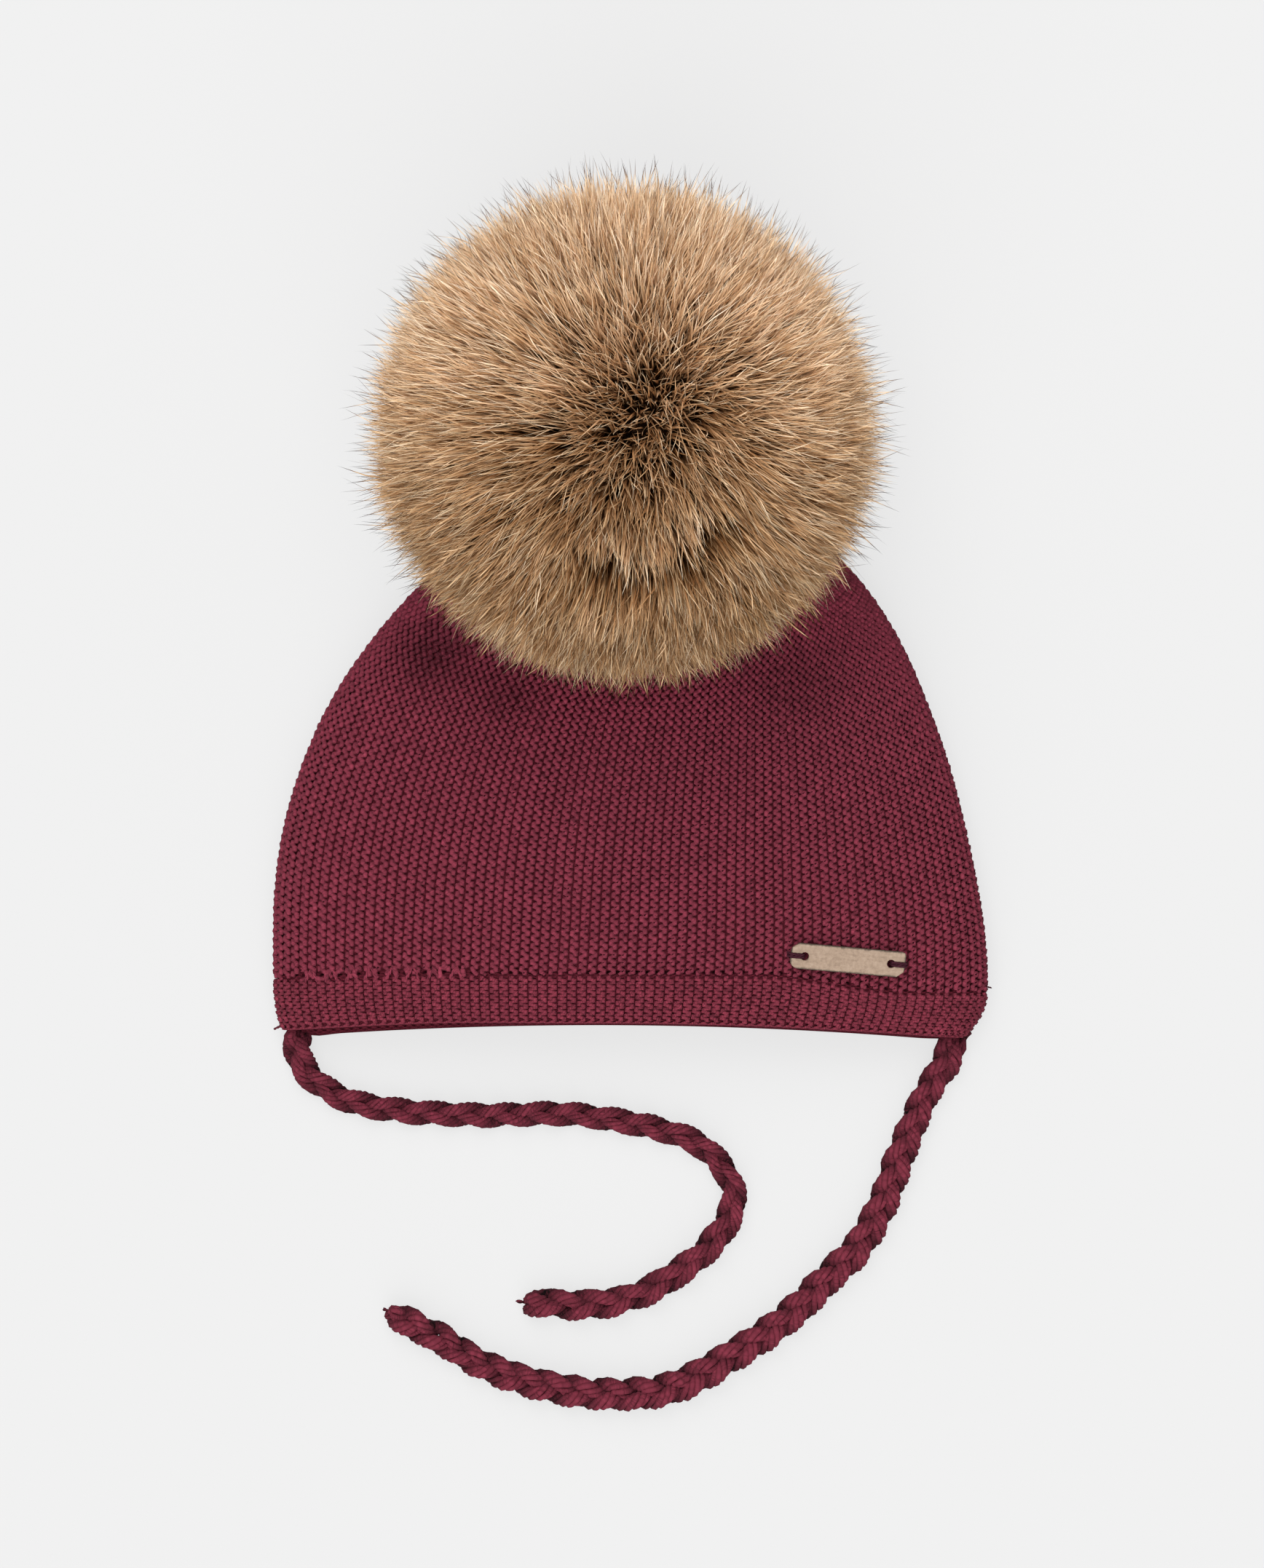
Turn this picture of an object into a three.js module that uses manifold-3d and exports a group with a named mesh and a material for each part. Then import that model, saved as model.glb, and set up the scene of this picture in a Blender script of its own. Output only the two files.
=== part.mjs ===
// A baby's pom-pom hat laid on its back: a hollow knitted crown, a doubled hem, a big fur pom-pom,
// two plaited ties and a small slotted wood tag. Millimetres, +Z up, the floor at z = 0. The hat's
// mouth faces -Y, and the origin is under the middle of the hat without its ties.

import * as THREE from 'three';
import { mergeVertices } from 'three/addons/utils/BufferGeometryUtils.js';
import Module from 'manifold-3d';

// Clearance between pieces that touch.
const GAP = 0.4;

// Crown: seen from above its outline is half an ellipse, widest at the hem seam.
const CROWN_HALF_WIDTH = 98;
const CROWN_REACH = 137;
const WIDEST_Y = -97;
const KNIT_WALL = 2.4;
const CROWN_RINGS = 15;
// How fast the height rounds down to nothing at the gathered apex.
const APEX_ROUNDING = 14;

// Hem: the cloth turned back on itself, so it is two layers thick, and it draws in a little.
const HEM_WALL = 4.8;
const HEM_DRAW_IN = 3.3;
const HEM_EDGE_ROUNDING = 1.2;
const HEM_ROWS = 4;
const SEAM = { y: -95.7, rightDip: 5, leftDip: 1.1 };
const LOWER_EDGE = { y: -110.3, bow: 3.8, tilt: 0.7, half: 92 };

// Height and sideways drift of the lying hat along Y.
const SECTIONS = [
  { y: 40, mid: 5.0, height: 10 },
  { y: 20, mid: 4.0, height: 15 },
  { y: 0, mid: 1.9, height: 20 },
  { y: -25, mid: -0.8, height: 25 },
  { y: -60, mid: -1.6, height: 27 },
  { y: -97, mid: 0.0, height: 24 },
  { y: -115, mid: -1.1, height: 21 },
];

// Cross-section: a flat back, tight side folds and a softly domed front.
const FRONT_FLATNESS = 2.6;
const WIDEST_LEVEL = 0.3;
const FOLD_RUN = 7;
const FRONT_STEPS = 26;
const FOLD_STEPS = 4;
const BACK_STEPS = 8;

// Pom-pom: a ball of fur that settles under its own weight.
const POMPOM = { x: -1.5, y: 48.6, z: 54, radius: 67, halfHeight: 62 };
const POMPOM_SIDES = 40;
const POMPOM_BANDS = 22;

// Ties: 210 mm plaits that lie loose on the floor, from the hem's corners to their bare ends.
const TIE_DIAMETER = { left: 7, right: 8 };
const TIE_SIDES = 10;
const TIE_STEP = 10;
const TIE_LEFT = [
  [-91.0, -114.0], [-91.2, -118.4], [-88.4, -123.8], [-82.8, -128.4], [-76.0, -131.6],
  [-60.4, -134.2], [-40.0, -135.2], [-18.0, -134.8], [-2.6, -136.8], [12.8, -140.4],
  [19.6, -143.8], [25.4, -149.6], [28.2, -156.8], [27.0, -163.4], [21.8, -171.0],
  [12.8, -178.6], [0.0, -185.4], [-15.4, -187.4], [-29.2, -186.4],
];
const TIE_RIGHT = [
  [88.3, -116.0], [86.6, -120.7], [81.4, -129.0], [74.5, -145.0], [69.4, -159.0],
  [62.8, -171.0], [54.4, -179.6], [42.2, -191.4], [28.4, -201.0], [13.6, -209.2],
  [5.4, -211.2], [-9.4, -211.6], [-24.8, -209.2], [-40.0, -204.0], [-53.8, -195.6],
  [-66.6, -189.2],
];

// Tag: a slip of wood with a hole near each end and a slot from each hole to that end.
const TAG = { x: 58.9, y: -92.1, length: 31.6, width: 7.0, thickness: 1.5, cornerRadius: 1.9 };
const TAG_TURN = THREE.MathUtils.degToRad(-5.2);
const TAG_HOLE = { inset: 3.9, radius: 1.15 };
const TAG_SLOT_WIDTH = 1.4;

// Colours as seen on the lying hat.
const YARN = new THREE.Color('#752a3b');
const FUR = new THREE.Color('#a88564');
const BIRCH = new THREE.Color('#cfb18d');

// One column of SECTIONS at any y, as a smooth cubic through the rows.
function along(y, column) {
  const rows = SECTIONS;
  let i = 0;
  while (i < rows.length - 2 && y < rows[i + 1].y) i++;
  const slope = (k) => {
    const before = rows[Math.max(k - 1, 0)];
    const after = rows[Math.min(k + 1, rows.length - 1)];
    return (after[column] - before[column]) / (after.y - before.y);
  };
  const span = rows[i + 1].y - rows[i].y;
  const t = THREE.MathUtils.clamp((y - rows[i].y) / span, 0, 1);
  const blend = 3 * t ** 2 - 2 * t ** 3;
  const value = THREE.MathUtils.lerp(rows[i][column], rows[i + 1][column], blend);
  const bend = slope(i) * (t ** 3 - 2 * t ** 2 + t) + slope(i + 1) * (t ** 3 - t ** 2);
  return value + span * bend;
}

// The hem's seam and lower edge dip to the right, as the hat lies.
function seamY(x) {
  const right = SEAM.rightDip * THREE.MathUtils.smoothstep(x, 35, 78);
  const left = SEAM.leftDip * THREE.MathUtils.smoothstep(-x, 50, 95);
  return SEAM.y - right - left;
}

function hemY(x) {
  const side = x / LOWER_EDGE.half;
  return LOWER_EDGE.y - LOWER_EDGE.bow * side ** 2 - LOWER_EDGE.tilt * side;
}

// Half width and height of the outside of the hat at y.
function crownHalf(y, inset = 0) {
  const rise = Math.max(y - WIDEST_Y, 0) / (CROWN_REACH - inset);
  return (CROWN_HALF_WIDTH - inset) * Math.sqrt(Math.max(1 - rise ** 2, 0));
}

function crownHeight(y) {
  const fromApex = Math.min((WIDEST_Y + CROWN_REACH - y) / APEX_ROUNDING, 1);
  return along(y, 'height') * Math.sqrt(Math.max(1 - (1 - fromApex) ** 2, 0));
}

// One closed ring of points round the hat, from the right fold over the front to the left fold and
// back under. yAt gives each point's place along the hat from its x.
function ring({ half, mid, low, wide, high, run, yAt }) {
  const points = [];
  const add = (x, z) => points.push(new THREE.Vector3(mid + x, yAt(mid + x), z));
  for (let i = 0; i < FRONT_STEPS; i++) {
    const angle = (Math.PI * i) / FRONT_STEPS;
    const cosine = Math.cos(angle);
    const across = Math.sign(cosine) * Math.abs(cosine) ** (2 / FRONT_FLATNESS);
    add(half * across, wide + (high - wide) * Math.sin(angle));
  }
  const fold = Math.min(run, half / 2);
  for (let i = 0; i < FOLD_STEPS; i++) {
    const angle = (Math.PI / 2) * (i / FOLD_STEPS);
    add(-half + fold * (1 - Math.cos(angle)), wide - (wide - low) * Math.sin(angle));
  }
  for (let i = 0; i < BACK_STEPS; i++) add((half - fold) * ((2 * i) / BACK_STEPS - 1), low);
  for (let i = 0; i < FOLD_STEPS; i++) {
    const angle = (Math.PI / 2) * (1 - i / FOLD_STEPS);
    add(half - fold * (1 - Math.cos(angle)), wide - (wide - low) * Math.sin(angle));
  }
  return points;
}

// Joins neighbouring rings with faces. A ring of one point is a pole.
function skin(rings, closed = false) {
  const positions = [];
  const starts = [];
  for (const points of rings) {
    starts.push(positions.length / 3);
    for (const point of points) positions.push(point.x, point.y, point.z);
  }
  const indices = [];
  const pairs = closed ? rings.length : rings.length - 1;
  for (let r = 0; r < pairs; r++) {
    const next = (r + 1) % rings.length;
    const countA = rings[r].length;
    const countB = rings[next].length;
    for (let i = 0; i < Math.max(countA, countB); i++) {
      const a0 = starts[r] + (i % countA);
      const a1 = starts[r] + ((i + 1) % countA);
      const b0 = starts[next] + (i % countB);
      const b1 = starts[next] + ((i + 1) % countB);
      if (countA > 1) indices.push(a0, a1, b0);
      if (countB > 1) indices.push(a1, b1, b0);
    }
  }
  const geometry = new THREE.BufferGeometry();
  geometry.setAttribute('position', new THREE.Float32BufferAttribute(positions, 3));
  geometry.setIndex(indices);
  geometry.computeVertexNormals();
  return geometry;
}

// The crown's rings from the apex to the seam, set in by inset. The seam's own curve fades out
// towards the apex.
function crownRings({ inset, low, run = FOLD_RUN }) {
  const rings = [];
  const reach = CROWN_REACH - inset;
  const apex = WIDEST_Y + reach;
  const tip = Math.max(low, crownHeight(apex) / 2);
  rings.push([new THREE.Vector3(along(apex, 'mid'), apex, tip)]);
  for (let i = CROWN_RINGS - 1; i >= 0; i--) {
    const rise = Math.sin((Math.PI / 2) * (i / CROWN_RINGS));
    const y = WIDEST_Y + reach * rise;
    const fade = (1 - rise) ** 4;
    // A grown copy keeps its distance from the steep apex too.
    const high = crownHeight(y + Math.min(inset, 0)) - inset;
    const wide = THREE.MathUtils.lerp(Math.max(low, 0), high, WIDEST_LEVEL);
    const section = { half: crownHalf(y, inset), mid: along(y, 'mid'), low, wide, high, run };
    rings.push(ring({ ...section, yAt: (x) => y + (seamY(x) + GAP / 2 - WIDEST_Y) * fade }));
  }
  return rings;
}

function crownGeometry() {
  const outer = crownRings({ inset: 0, low: 0 });
  const inner = crownRings({ inset: KNIT_WALL, low: KNIT_WALL });
  return skin([...outer, ...inner.reverse()]);
}

// A ring of the hem, t = 0 at the seam and 1 at the lower edge.
function hemRing(t, inset) {
  const y = THREE.MathUtils.lerp(WIDEST_Y, hemY(0), t);
  const half = CROWN_HALF_WIDTH - HEM_DRAW_IN * t ** 2 - inset;
  const high = along(y, 'height') - inset;
  const wide = THREE.MathUtils.lerp(inset, high, WIDEST_LEVEL);
  const section = { half, mid: along(y, 'mid'), low: inset, wide, high, run: FOLD_RUN };
  return ring({ ...section, yAt: (x) => THREE.MathUtils.lerp(seamY(x) - GAP / 2, hemY(x), t) });
}

function bandGeometry() {
  const lastRow = 1 - HEM_EDGE_ROUNDING / (seamY(0) - hemY(0));
  const outer = [];
  for (let i = 0; i <= HEM_ROWS; i++) outer.push(hemRing((lastRow * i) / HEM_ROWS, 0));
  const inner = [];
  for (let i = HEM_ROWS; i >= 0; i--) inner.push(hemRing((lastRow * i) / HEM_ROWS, HEM_WALL));
  return skin([...outer, hemRing(1, HEM_WALL / 2), ...inner], true);
}

const wasm = await Module();
wasm.setup();

function toSolid(geometry) {
  const bare = geometry.clone();
  bare.deleteAttribute('normal');
  bare.deleteAttribute('uv');
  const merged = mergeVertices(bare, 1e-4);
  return new wasm.Manifold(new wasm.Mesh({
    numProp: 3,
    vertProperties: new Float32Array(merged.attributes.position.array),
    triVerts: new Uint32Array(merged.index.array),
  }));
}

function fromSolid(solid) {
  const mesh = solid.getMesh();
  const geometry = new THREE.BufferGeometry();
  geometry.setAttribute('position', new THREE.Float32BufferAttribute(mesh.vertProperties, 3));
  geometry.setIndex(Array.from(mesh.triVerts));
  geometry.computeVertexNormals();
  return geometry;
}

// The ball of fur stands on the floor and on the crown's top, which presses a hollow into it.
function pompomGeometry() {
  const ball = new THREE.SphereGeometry(POMPOM.radius, POMPOM_SIDES, POMPOM_BANDS);
  ball.rotateX(Math.PI / 2);
  ball.scale(1, 1, POMPOM.halfHeight / POMPOM.radius);
  ball.translate(POMPOM.x, POMPOM.y, POMPOM.z);
  const underFloor = new THREE.BoxGeometry(4 * POMPOM.radius, 4 * POMPOM.radius, POMPOM.radius);
  underFloor.translate(POMPOM.x, POMPOM.y, -POMPOM.radius / 2);
  // Twice the gap each way, so that it stays open on the crown's steep sides too.
  const clearance = crownRings({ inset: -2 * GAP, low: -POMPOM.radius, run: 0 });
  clearance.push([new THREE.Vector3(0, 2 * WIDEST_Y, 0)]);
  return fromSolid(toSolid(ball).subtract(toSolid(underFloor)).subtract(toSolid(skin(clearance))));
}

// A tie is a plain round tube whose lowest side rests just above the floor.
function tieGeometry(points, diameter) {
  const radius = diameter / 2;
  const corners = Array.from({ length: TIE_SIDES }, (_, i) => {
    const angle = (2 * Math.PI * (i + 0.5)) / TIE_SIDES;
    return new THREE.Vector2(radius * Math.cos(angle), radius * Math.sin(angle));
  });
  const places = points.map(([x, y]) => new THREE.Vector3(x, y, radius));
  const route = new THREE.CatmullRomCurve3(places, false, 'centripetal');
  const steps = Math.round(route.getLength() / TIE_STEP);
  return new THREE.ExtrudeGeometry(new THREE.Shape(corners), { steps, extrudePath: route });
}

function tagOutline() {
  const { length, width, cornerRadius: r } = TAG;
  const slot = TAG_SLOT_WIDTH / 2;
  const hole = length / 2 - TAG_HOLE.inset;
  // Where the slot's side meets the hole, as an angle seen from the hole.
  const mouth = Math.asin(slot / TAG_HOLE.radius);
  const shape = new THREE.Shape();
  shape.moveTo(-length / 2 + r, -width / 2);
  shape.lineTo(length / 2 - r, -width / 2);
  shape.absarc(length / 2 - r, -width / 2 + r, r, -Math.PI / 2, 0);
  shape.lineTo(length / 2, -slot);
  shape.absarc(hole, 0, TAG_HOLE.radius, -mouth, mouth, true);
  shape.lineTo(length / 2, slot);
  shape.absarc(length / 2 - r, width / 2 - r, r, 0, Math.PI / 2);
  shape.lineTo(-length / 2 + r, width / 2);
  shape.absarc(-length / 2 + r, width / 2 - r, r, Math.PI / 2, Math.PI);
  shape.lineTo(-length / 2, slot);
  shape.absarc(-hole, 0, TAG_HOLE.radius, Math.PI - mouth, Math.PI + mouth, true);
  shape.lineTo(-length / 2, -slot);
  shape.absarc(-length / 2 + r, -width / 2 + r, r, Math.PI, 1.5 * Math.PI);
  return shape;
}

// Height of the hat's front at a place on the crown.
function frontHeight(x, y) {
  const high = crownHeight(y);
  const wide = WIDEST_LEVEL * high;
  const side = Math.min(Math.abs(x - along(y, 'mid')) / crownHalf(y), 1);
  return wide + (high - wide) * Math.sqrt(1 - side ** FRONT_FLATNESS);
}

// The tag lies against the domed crown on the plane that touches it, lifted clear of its bulge.
function tagMesh() {
  const lengthwise = new THREE.Vector3(Math.cos(TAG_TURN), Math.sin(TAG_TURN), 0);
  const crosswise = new THREE.Vector3(-Math.sin(TAG_TURN), Math.cos(TAG_TURN), 0);
  lengthwise.multiplyScalar(TAG.length / 2);
  crosswise.multiplyScalar(TAG.width / 2);
  const height = (u, v) => frontHeight(
    TAG.x + u * lengthwise.x + v * crosswise.x,
    TAG.y + u * lengthwise.y + v * crosswise.y,
  );
  lengthwise.z = (height(1, 0) - height(-1, 0)) / 2;
  crosswise.z = (height(0, 1) - height(0, -1)) / 2;
  let level = 0;
  for (let u = -1; u <= 1; u += 0.25) {
    for (let v = -1; v <= 1; v += 0.5) {
      level = Math.max(level, height(u, v) - u * lengthwise.z - v * crosswise.z);
    }
  }
  const ahead = lengthwise.normalize();
  const up = new THREE.Vector3().crossVectors(ahead, crosswise).normalize();
  const across = new THREE.Vector3().crossVectors(up, ahead);
  const depth = TAG.thickness;
  const geometry = new THREE.ExtrudeGeometry(tagOutline(), { depth, bevelEnabled: false, curveSegments: 6 });
  const mesh = piece('wood_tag', geometry, { color: BIRCH, roughness: 0.6 });
  mesh.quaternion.setFromRotationMatrix(new THREE.Matrix4().makeBasis(ahead, across, up));
  mesh.position.set(TAG.x, TAG.y, level + GAP);
  return mesh;
}

function piece(name, geometry, { color, roughness }) {
  const mesh = new THREE.Mesh(geometry, new THREE.MeshStandardMaterial({ color, roughness, metalness: 0 }));
  mesh.name = name;
  return mesh;
}

const hat = new THREE.Group();
hat.add(piece('crown', crownGeometry(), { color: YARN, roughness: 0.95 }));
hat.add(piece('band', bandGeometry(), { color: YARN, roughness: 0.95 }));
hat.add(piece('pompom', pompomGeometry(), { color: FUR, roughness: 0.9 }));
hat.add(piece('tie_left', tieGeometry(TIE_LEFT, TIE_DIAMETER.left), { color: YARN, roughness: 0.95 }));
hat.add(piece('tie_right', tieGeometry(TIE_RIGHT, TIE_DIAMETER.right), { color: YARN, roughness: 0.95 }));
hat.add(tagMesh());

export default hat;
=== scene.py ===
# %% [markdown]
# # A baby's knitted hat with a fur pom-pom
#
# The hat lies on its back and is seen from straight above. It has a crown knitted with the purl
# side out, a doubled hem, two plaited ties, a ball of long brown fur and a small wooden tag.
# Everything soft is modelled as what it is: stitches, plies of yarn and strands of fur.
#
# The hat's own sizes are in millimetres. The camera, the lights, the shaders and the meshes are
# in metres.

# %% Frame and imports
import math

import bpy
import numpy as np
from mathutils import Matrix, Vector


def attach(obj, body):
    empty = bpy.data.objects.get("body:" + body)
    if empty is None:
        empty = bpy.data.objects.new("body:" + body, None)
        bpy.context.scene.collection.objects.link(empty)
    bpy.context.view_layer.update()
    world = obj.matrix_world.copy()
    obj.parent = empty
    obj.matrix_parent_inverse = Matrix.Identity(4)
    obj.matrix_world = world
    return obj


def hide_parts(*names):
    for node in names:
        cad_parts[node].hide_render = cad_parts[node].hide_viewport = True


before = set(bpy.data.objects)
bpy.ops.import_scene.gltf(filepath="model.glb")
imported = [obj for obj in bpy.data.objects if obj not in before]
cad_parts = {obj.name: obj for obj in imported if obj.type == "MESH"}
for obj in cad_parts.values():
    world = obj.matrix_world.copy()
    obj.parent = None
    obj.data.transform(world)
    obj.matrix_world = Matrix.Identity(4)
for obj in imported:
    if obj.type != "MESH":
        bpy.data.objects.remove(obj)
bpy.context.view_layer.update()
MM = 0.001


bpy.ops.object.select_all(action="DESELECT")

# %% [markdown]
# ## Camera
#
# The picture was taken from straight above, so the camera looks down the Z axis with +Y up. A long
# lens two metres away keeps the perspective of a product photograph. The sensor's width lies along
# the picture's long side, so its lens follows from the length of floor that the picture shows.

# %% Camera
CAMERA_HEIGHT = 2.0
VIEW_CENTRE = (0.0004, -0.0444)
VIEW_LENGTH = 0.4308
SENSOR = 36.0

bpy.ops.object.camera_add(location=(*VIEW_CENTRE, CAMERA_HEIGHT), rotation=(0, 0, 0))
camera = bpy.context.object
camera.name = "camera"
camera.data.sensor_width = SENSOR
camera.data.lens = SENSOR * CAMERA_HEIGHT / VIEW_LENGTH
bpy.context.scene.camera = camera
print("lens in mm:", round(camera.data.lens, 1))

# %% [markdown]
# ## Meshes from arrays
#
# Stitches, plies and hairs come in thousands. Modelled once and copied by hand they would be too
# many objects, so each is laid out as rows in a numpy array and the rows are joined into one mesh.
# Every strand has a UV map of its own: u holds the strand's tone, v runs along it. A pattern that
# reads only this map stays the same wherever the strand lies. The map has the name that the export
# bakes through.

# %% Mesh helpers
STRAND_MAP = "OFBake"


def mesh_piece(name, points, faces, uv=None):
    """Joins arrays into one object. faces is a list of index arrays with 3 or 4 columns."""
    corners = np.concatenate([rows.ravel() for rows in faces]).astype(np.int32)
    sizes = np.concatenate([np.full(len(rows), rows.shape[1]) for rows in faces])
    starts = np.concatenate([[0], np.cumsum(sizes)[:-1]]).astype(np.int32)
    mesh = bpy.data.meshes.new(name)
    mesh.vertices.add(len(points))
    mesh.vertices.foreach_set("co", (np.asarray(points) * MM).astype(np.float32).ravel())
    mesh.loops.add(len(corners))
    mesh.loops.foreach_set("vertex_index", corners)
    mesh.polygons.add(len(sizes))
    mesh.polygons.foreach_set("loop_start", starts)
    mesh.polygons.foreach_set("use_smooth", np.ones(len(sizes), dtype=bool))
    mesh.update(calc_edges=True)
    if uv is not None:
        layer = mesh.uv_layers.new(name=STRAND_MAP)
        layer.data.foreach_set("uv", np.asarray(uv, dtype=np.float32)[corners].ravel())
    piece = bpy.data.objects.new(name, mesh)
    bpy.context.collection.objects.link(piece)
    return piece


def finish_piece(piece, material, slot, *nodes):
    """Gives a piece its material, its place in the frame and the CAD nodes it stands for."""
    piece.data.materials.clear()
    piece.data.materials.append(material)
    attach(piece, "root")
    if nodes:
        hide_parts(*nodes)
    piece.data.calc_loop_triangles()
    print(piece.name, len(piece.data.loop_triangles), "triangles")


def unit(vectors):
    return vectors / np.maximum(np.linalg.norm(vectors, axis=-1, keepdims=True), 1e-9)


def distances(points):
    """Distance along a path at each of its points."""
    return np.concatenate([[0], np.cumsum(np.linalg.norm(np.diff(points, axis=0), axis=1))])


def smoothstep(value, low, high):
    t = np.clip((value - low) / (high - low), 0, 1)
    return t * t * (3 - 2 * t)


def fade(value, low, high):
    """1 up to low and 0 from high."""
    return 1 - smoothstep(value, low, high)


def hill(value, foot, top, top_end, foot_end):
    """0 up to foot, 1 from top to top_end and 0 again from foot_end."""
    return smoothstep(value, foot, top) * fade(value, top_end, foot_end)

# %% [markdown]
# A tube is swept along a path: at each point a ring of corners stands square to the path. Both ends
# get a cap, so that each strand is a closed body with its faces pointing out.


# %% Tubes
def square_to(path, up):
    """Two unit vectors across a path at each of its points. The first also lies square to up."""
    ahead = unit(np.gradient(path, axis=0))
    side = unit(np.cross(ahead, np.broadcast_to(up, ahead.shape)))
    return side, np.cross(side, ahead)


def tube_points(path, radius, sides, up=(0, 0, 1)):
    """Rings of corners round a path. radius is one number or one for each point."""
    side, top = square_to(path, up)
    angle = (2 * np.pi * np.arange(sides) / sides)[None, :, None]
    reach = np.broadcast_to(radius, len(path))[:, None, None]
    ring = side[:, None] * np.cos(angle) + top[:, None] * np.sin(angle)
    return (path[:, None] + reach * ring).reshape(-1, 3)


def tube_faces(rings, sides):
    """Side faces and two end caps, as arrays for mesh_piece."""
    ring, corner = np.meshgrid(np.arange(rings - 1), np.arange(sides), indexing="ij")
    after = (corner + 1) % sides
    start = ring * sides
    walls = np.stack([start + corner, start + after, start + sides + after, start + sides + corner], -1)
    cap = np.arange(sides)
    if sides == 4:
        return [np.concatenate([walls.reshape(-1, 4), [cap[::-1], cap + (rings - 1) * sides]])]
    fan = np.stack([np.zeros(sides - 2, int), cap[1:-1], cap[2:]], -1)
    return [walls.reshape(-1, 4), np.concatenate([fan[:, ::-1], fan + (rings - 1) * sides])]


def tubes_piece(name, tubes, sides):
    """Joins (points, uv) tubes of any length into one piece."""
    points, uvs, quads, fans, start = [], [], [], [], 0
    for corners, uv in tubes:
        sets = tube_faces(len(corners) // sides, sides)
        quads.append(sets[0] + start)
        fans.extend(rows + start for rows in sets[1:])
        points.append(corners)
        uvs.append(uv)
        start += len(corners)
    faces = [np.concatenate(quads)] + ([np.concatenate(fans)] if fans else [])
    return mesh_piece(name, np.concatenate(points), faces, np.concatenate(uvs))

# %% [markdown]
# ## Yarn
#
# The yarn is a soft maroon wool blend. Up close its fibres show as short streaks along the strand,
# lighter on the tops and almost black between strands, with a velvety edge from the loose fibre
# ends. The streaks are a stretched noise on the strand's own map. They are a shader group, because
# the knit, the ties and the threads all use them with other values; the group can also paint shade
# on the turns of a stitch that dip behind its neighbours. The soft edge is the shader's sheen, set
# on its own socket.


# %% Shader helpers
def group(name, inputs, outputs):
    """A shader node group with float, colour or vector sockets, and its two end nodes."""
    tree = bpy.data.node_groups.new(name, "ShaderNodeTree")
    for label, kind, value in inputs:
        socket = tree.interface.new_socket(label, in_out="INPUT", socket_type=kind)
        if value is not None:
            socket.default_value = value
    for label, kind in outputs:
        tree.interface.new_socket(label, in_out="OUTPUT", socket_type=kind)
    return tree, tree.nodes.new("NodeGroupInput"), tree.nodes.new("NodeGroupOutput")


def placed_group(tree, shared, **values):
    """One use of a shared group in a material, with its own values."""
    node = tree.nodes.new("ShaderNodeGroup")
    node.node_tree = shared
    for label, value in values.items():
        node.inputs[label.replace("_", " ")].default_value = value
    return node


def added(tree, kind, output, inputs, **settings):
    """An output of a new node. inputs are values or other nodes' outputs, by socket."""
    node = tree.nodes.new(kind)
    for label, value in settings.items():
        setattr(node, label, value)
    for socket, value in inputs.items():
        if isinstance(value, bpy.types.NodeSocket):
            tree.links.new(value, node.inputs[socket])
        else:
            node.inputs[socket].default_value = value
    return node.outputs[output]


def math_node(tree, operation, *values):
    return added(tree, "ShaderNodeMath", 0, dict(enumerate(values)), operation=operation)


def plus(tree, first, second):
    return math_node(tree, "ADD", first, second)


def minus(tree, first, second):
    return math_node(tree, "SUBTRACT", first, second)


def times(tree, first, second):
    return math_node(tree, "MULTIPLY", first, second)


def split(tree, vector):
    """The X and Y of a vector."""
    parts = tree.nodes.new("ShaderNodeSeparateXYZ")
    tree.links.new(vector, parts.inputs[0])
    return parts.outputs["X"], parts.outputs["Y"]


def remap(tree, value, low, high, new_low, new_high):
    inputs = {"Value": value, "From Min": low, "From Max": high, "To Min": new_low, "To Max": new_high}
    return added(tree, "ShaderNodeMapRange", "Result", inputs)


def noise(tree, vector, scale, detail, roughness):
    inputs = {"Vector": vector, "Scale": scale, "Detail": detail, "Roughness": roughness}
    return added(tree, "ShaderNodeTexNoise", "Fac", inputs)


def scaled(tree, vector, scale):
    return added(tree, "ShaderNodeMapping", "Vector", {"Vector": vector, "Scale": scale})


def multiplied(tree, colour, factor):
    """A colour times a value, as a vector product."""
    return added(tree, "ShaderNodeVectorMath", "Vector", {0: colour, "Scale": factor}, operation="SCALE")


def ramp(tree, value, stops):
    """A colour ramp. stops are (place, colour) pairs."""
    node = tree.nodes.new("ShaderNodeValToRGB")
    tree.links.new(value, node.inputs["Fac"])
    elements = node.color_ramp.elements
    while len(elements) < len(stops):
        elements.new(0.5)
    for element, (place, colour) in zip(elements, stops):
        element.position = place
        element.color = (*colour, 1)
    return node.outputs["Color"]


def own_map(tree, name):
    return added(tree, "ShaderNodeUVMap", "UV", {}, uv_map=name)


def bump(tree, shader, height, distance):
    inputs = {"Height": height, "Distance": distance, "Strength": 1.0}
    tree.links.new(added(tree, "ShaderNodeBump", "Normal", inputs), shader.inputs["Normal"])


def material(name, roughness, **settings):
    """A new material and its Principled shader. settings go to the shader's own sockets."""
    made = bpy.data.materials.new(name)
    made.use_nodes = True
    shader = made.node_tree.nodes["Principled BSDF"]
    shader.inputs["Roughness"].default_value = roughness
    for label, value in settings.items():
        shader.inputs[label.replace("_", " ")].default_value = value
    print("material", name)
    return made, made.node_tree, shader


# %% Yarn fibres
COLOUR, FLOAT, VECTOR = "NodeSocketColor", "NodeSocketFloat", "NodeSocketVector"
FIBRE_STRETCH = (60, 9, 1)
STREAK_STRENGTH = 3.0
FIBRE_HEIGHT = 0.0004


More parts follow.
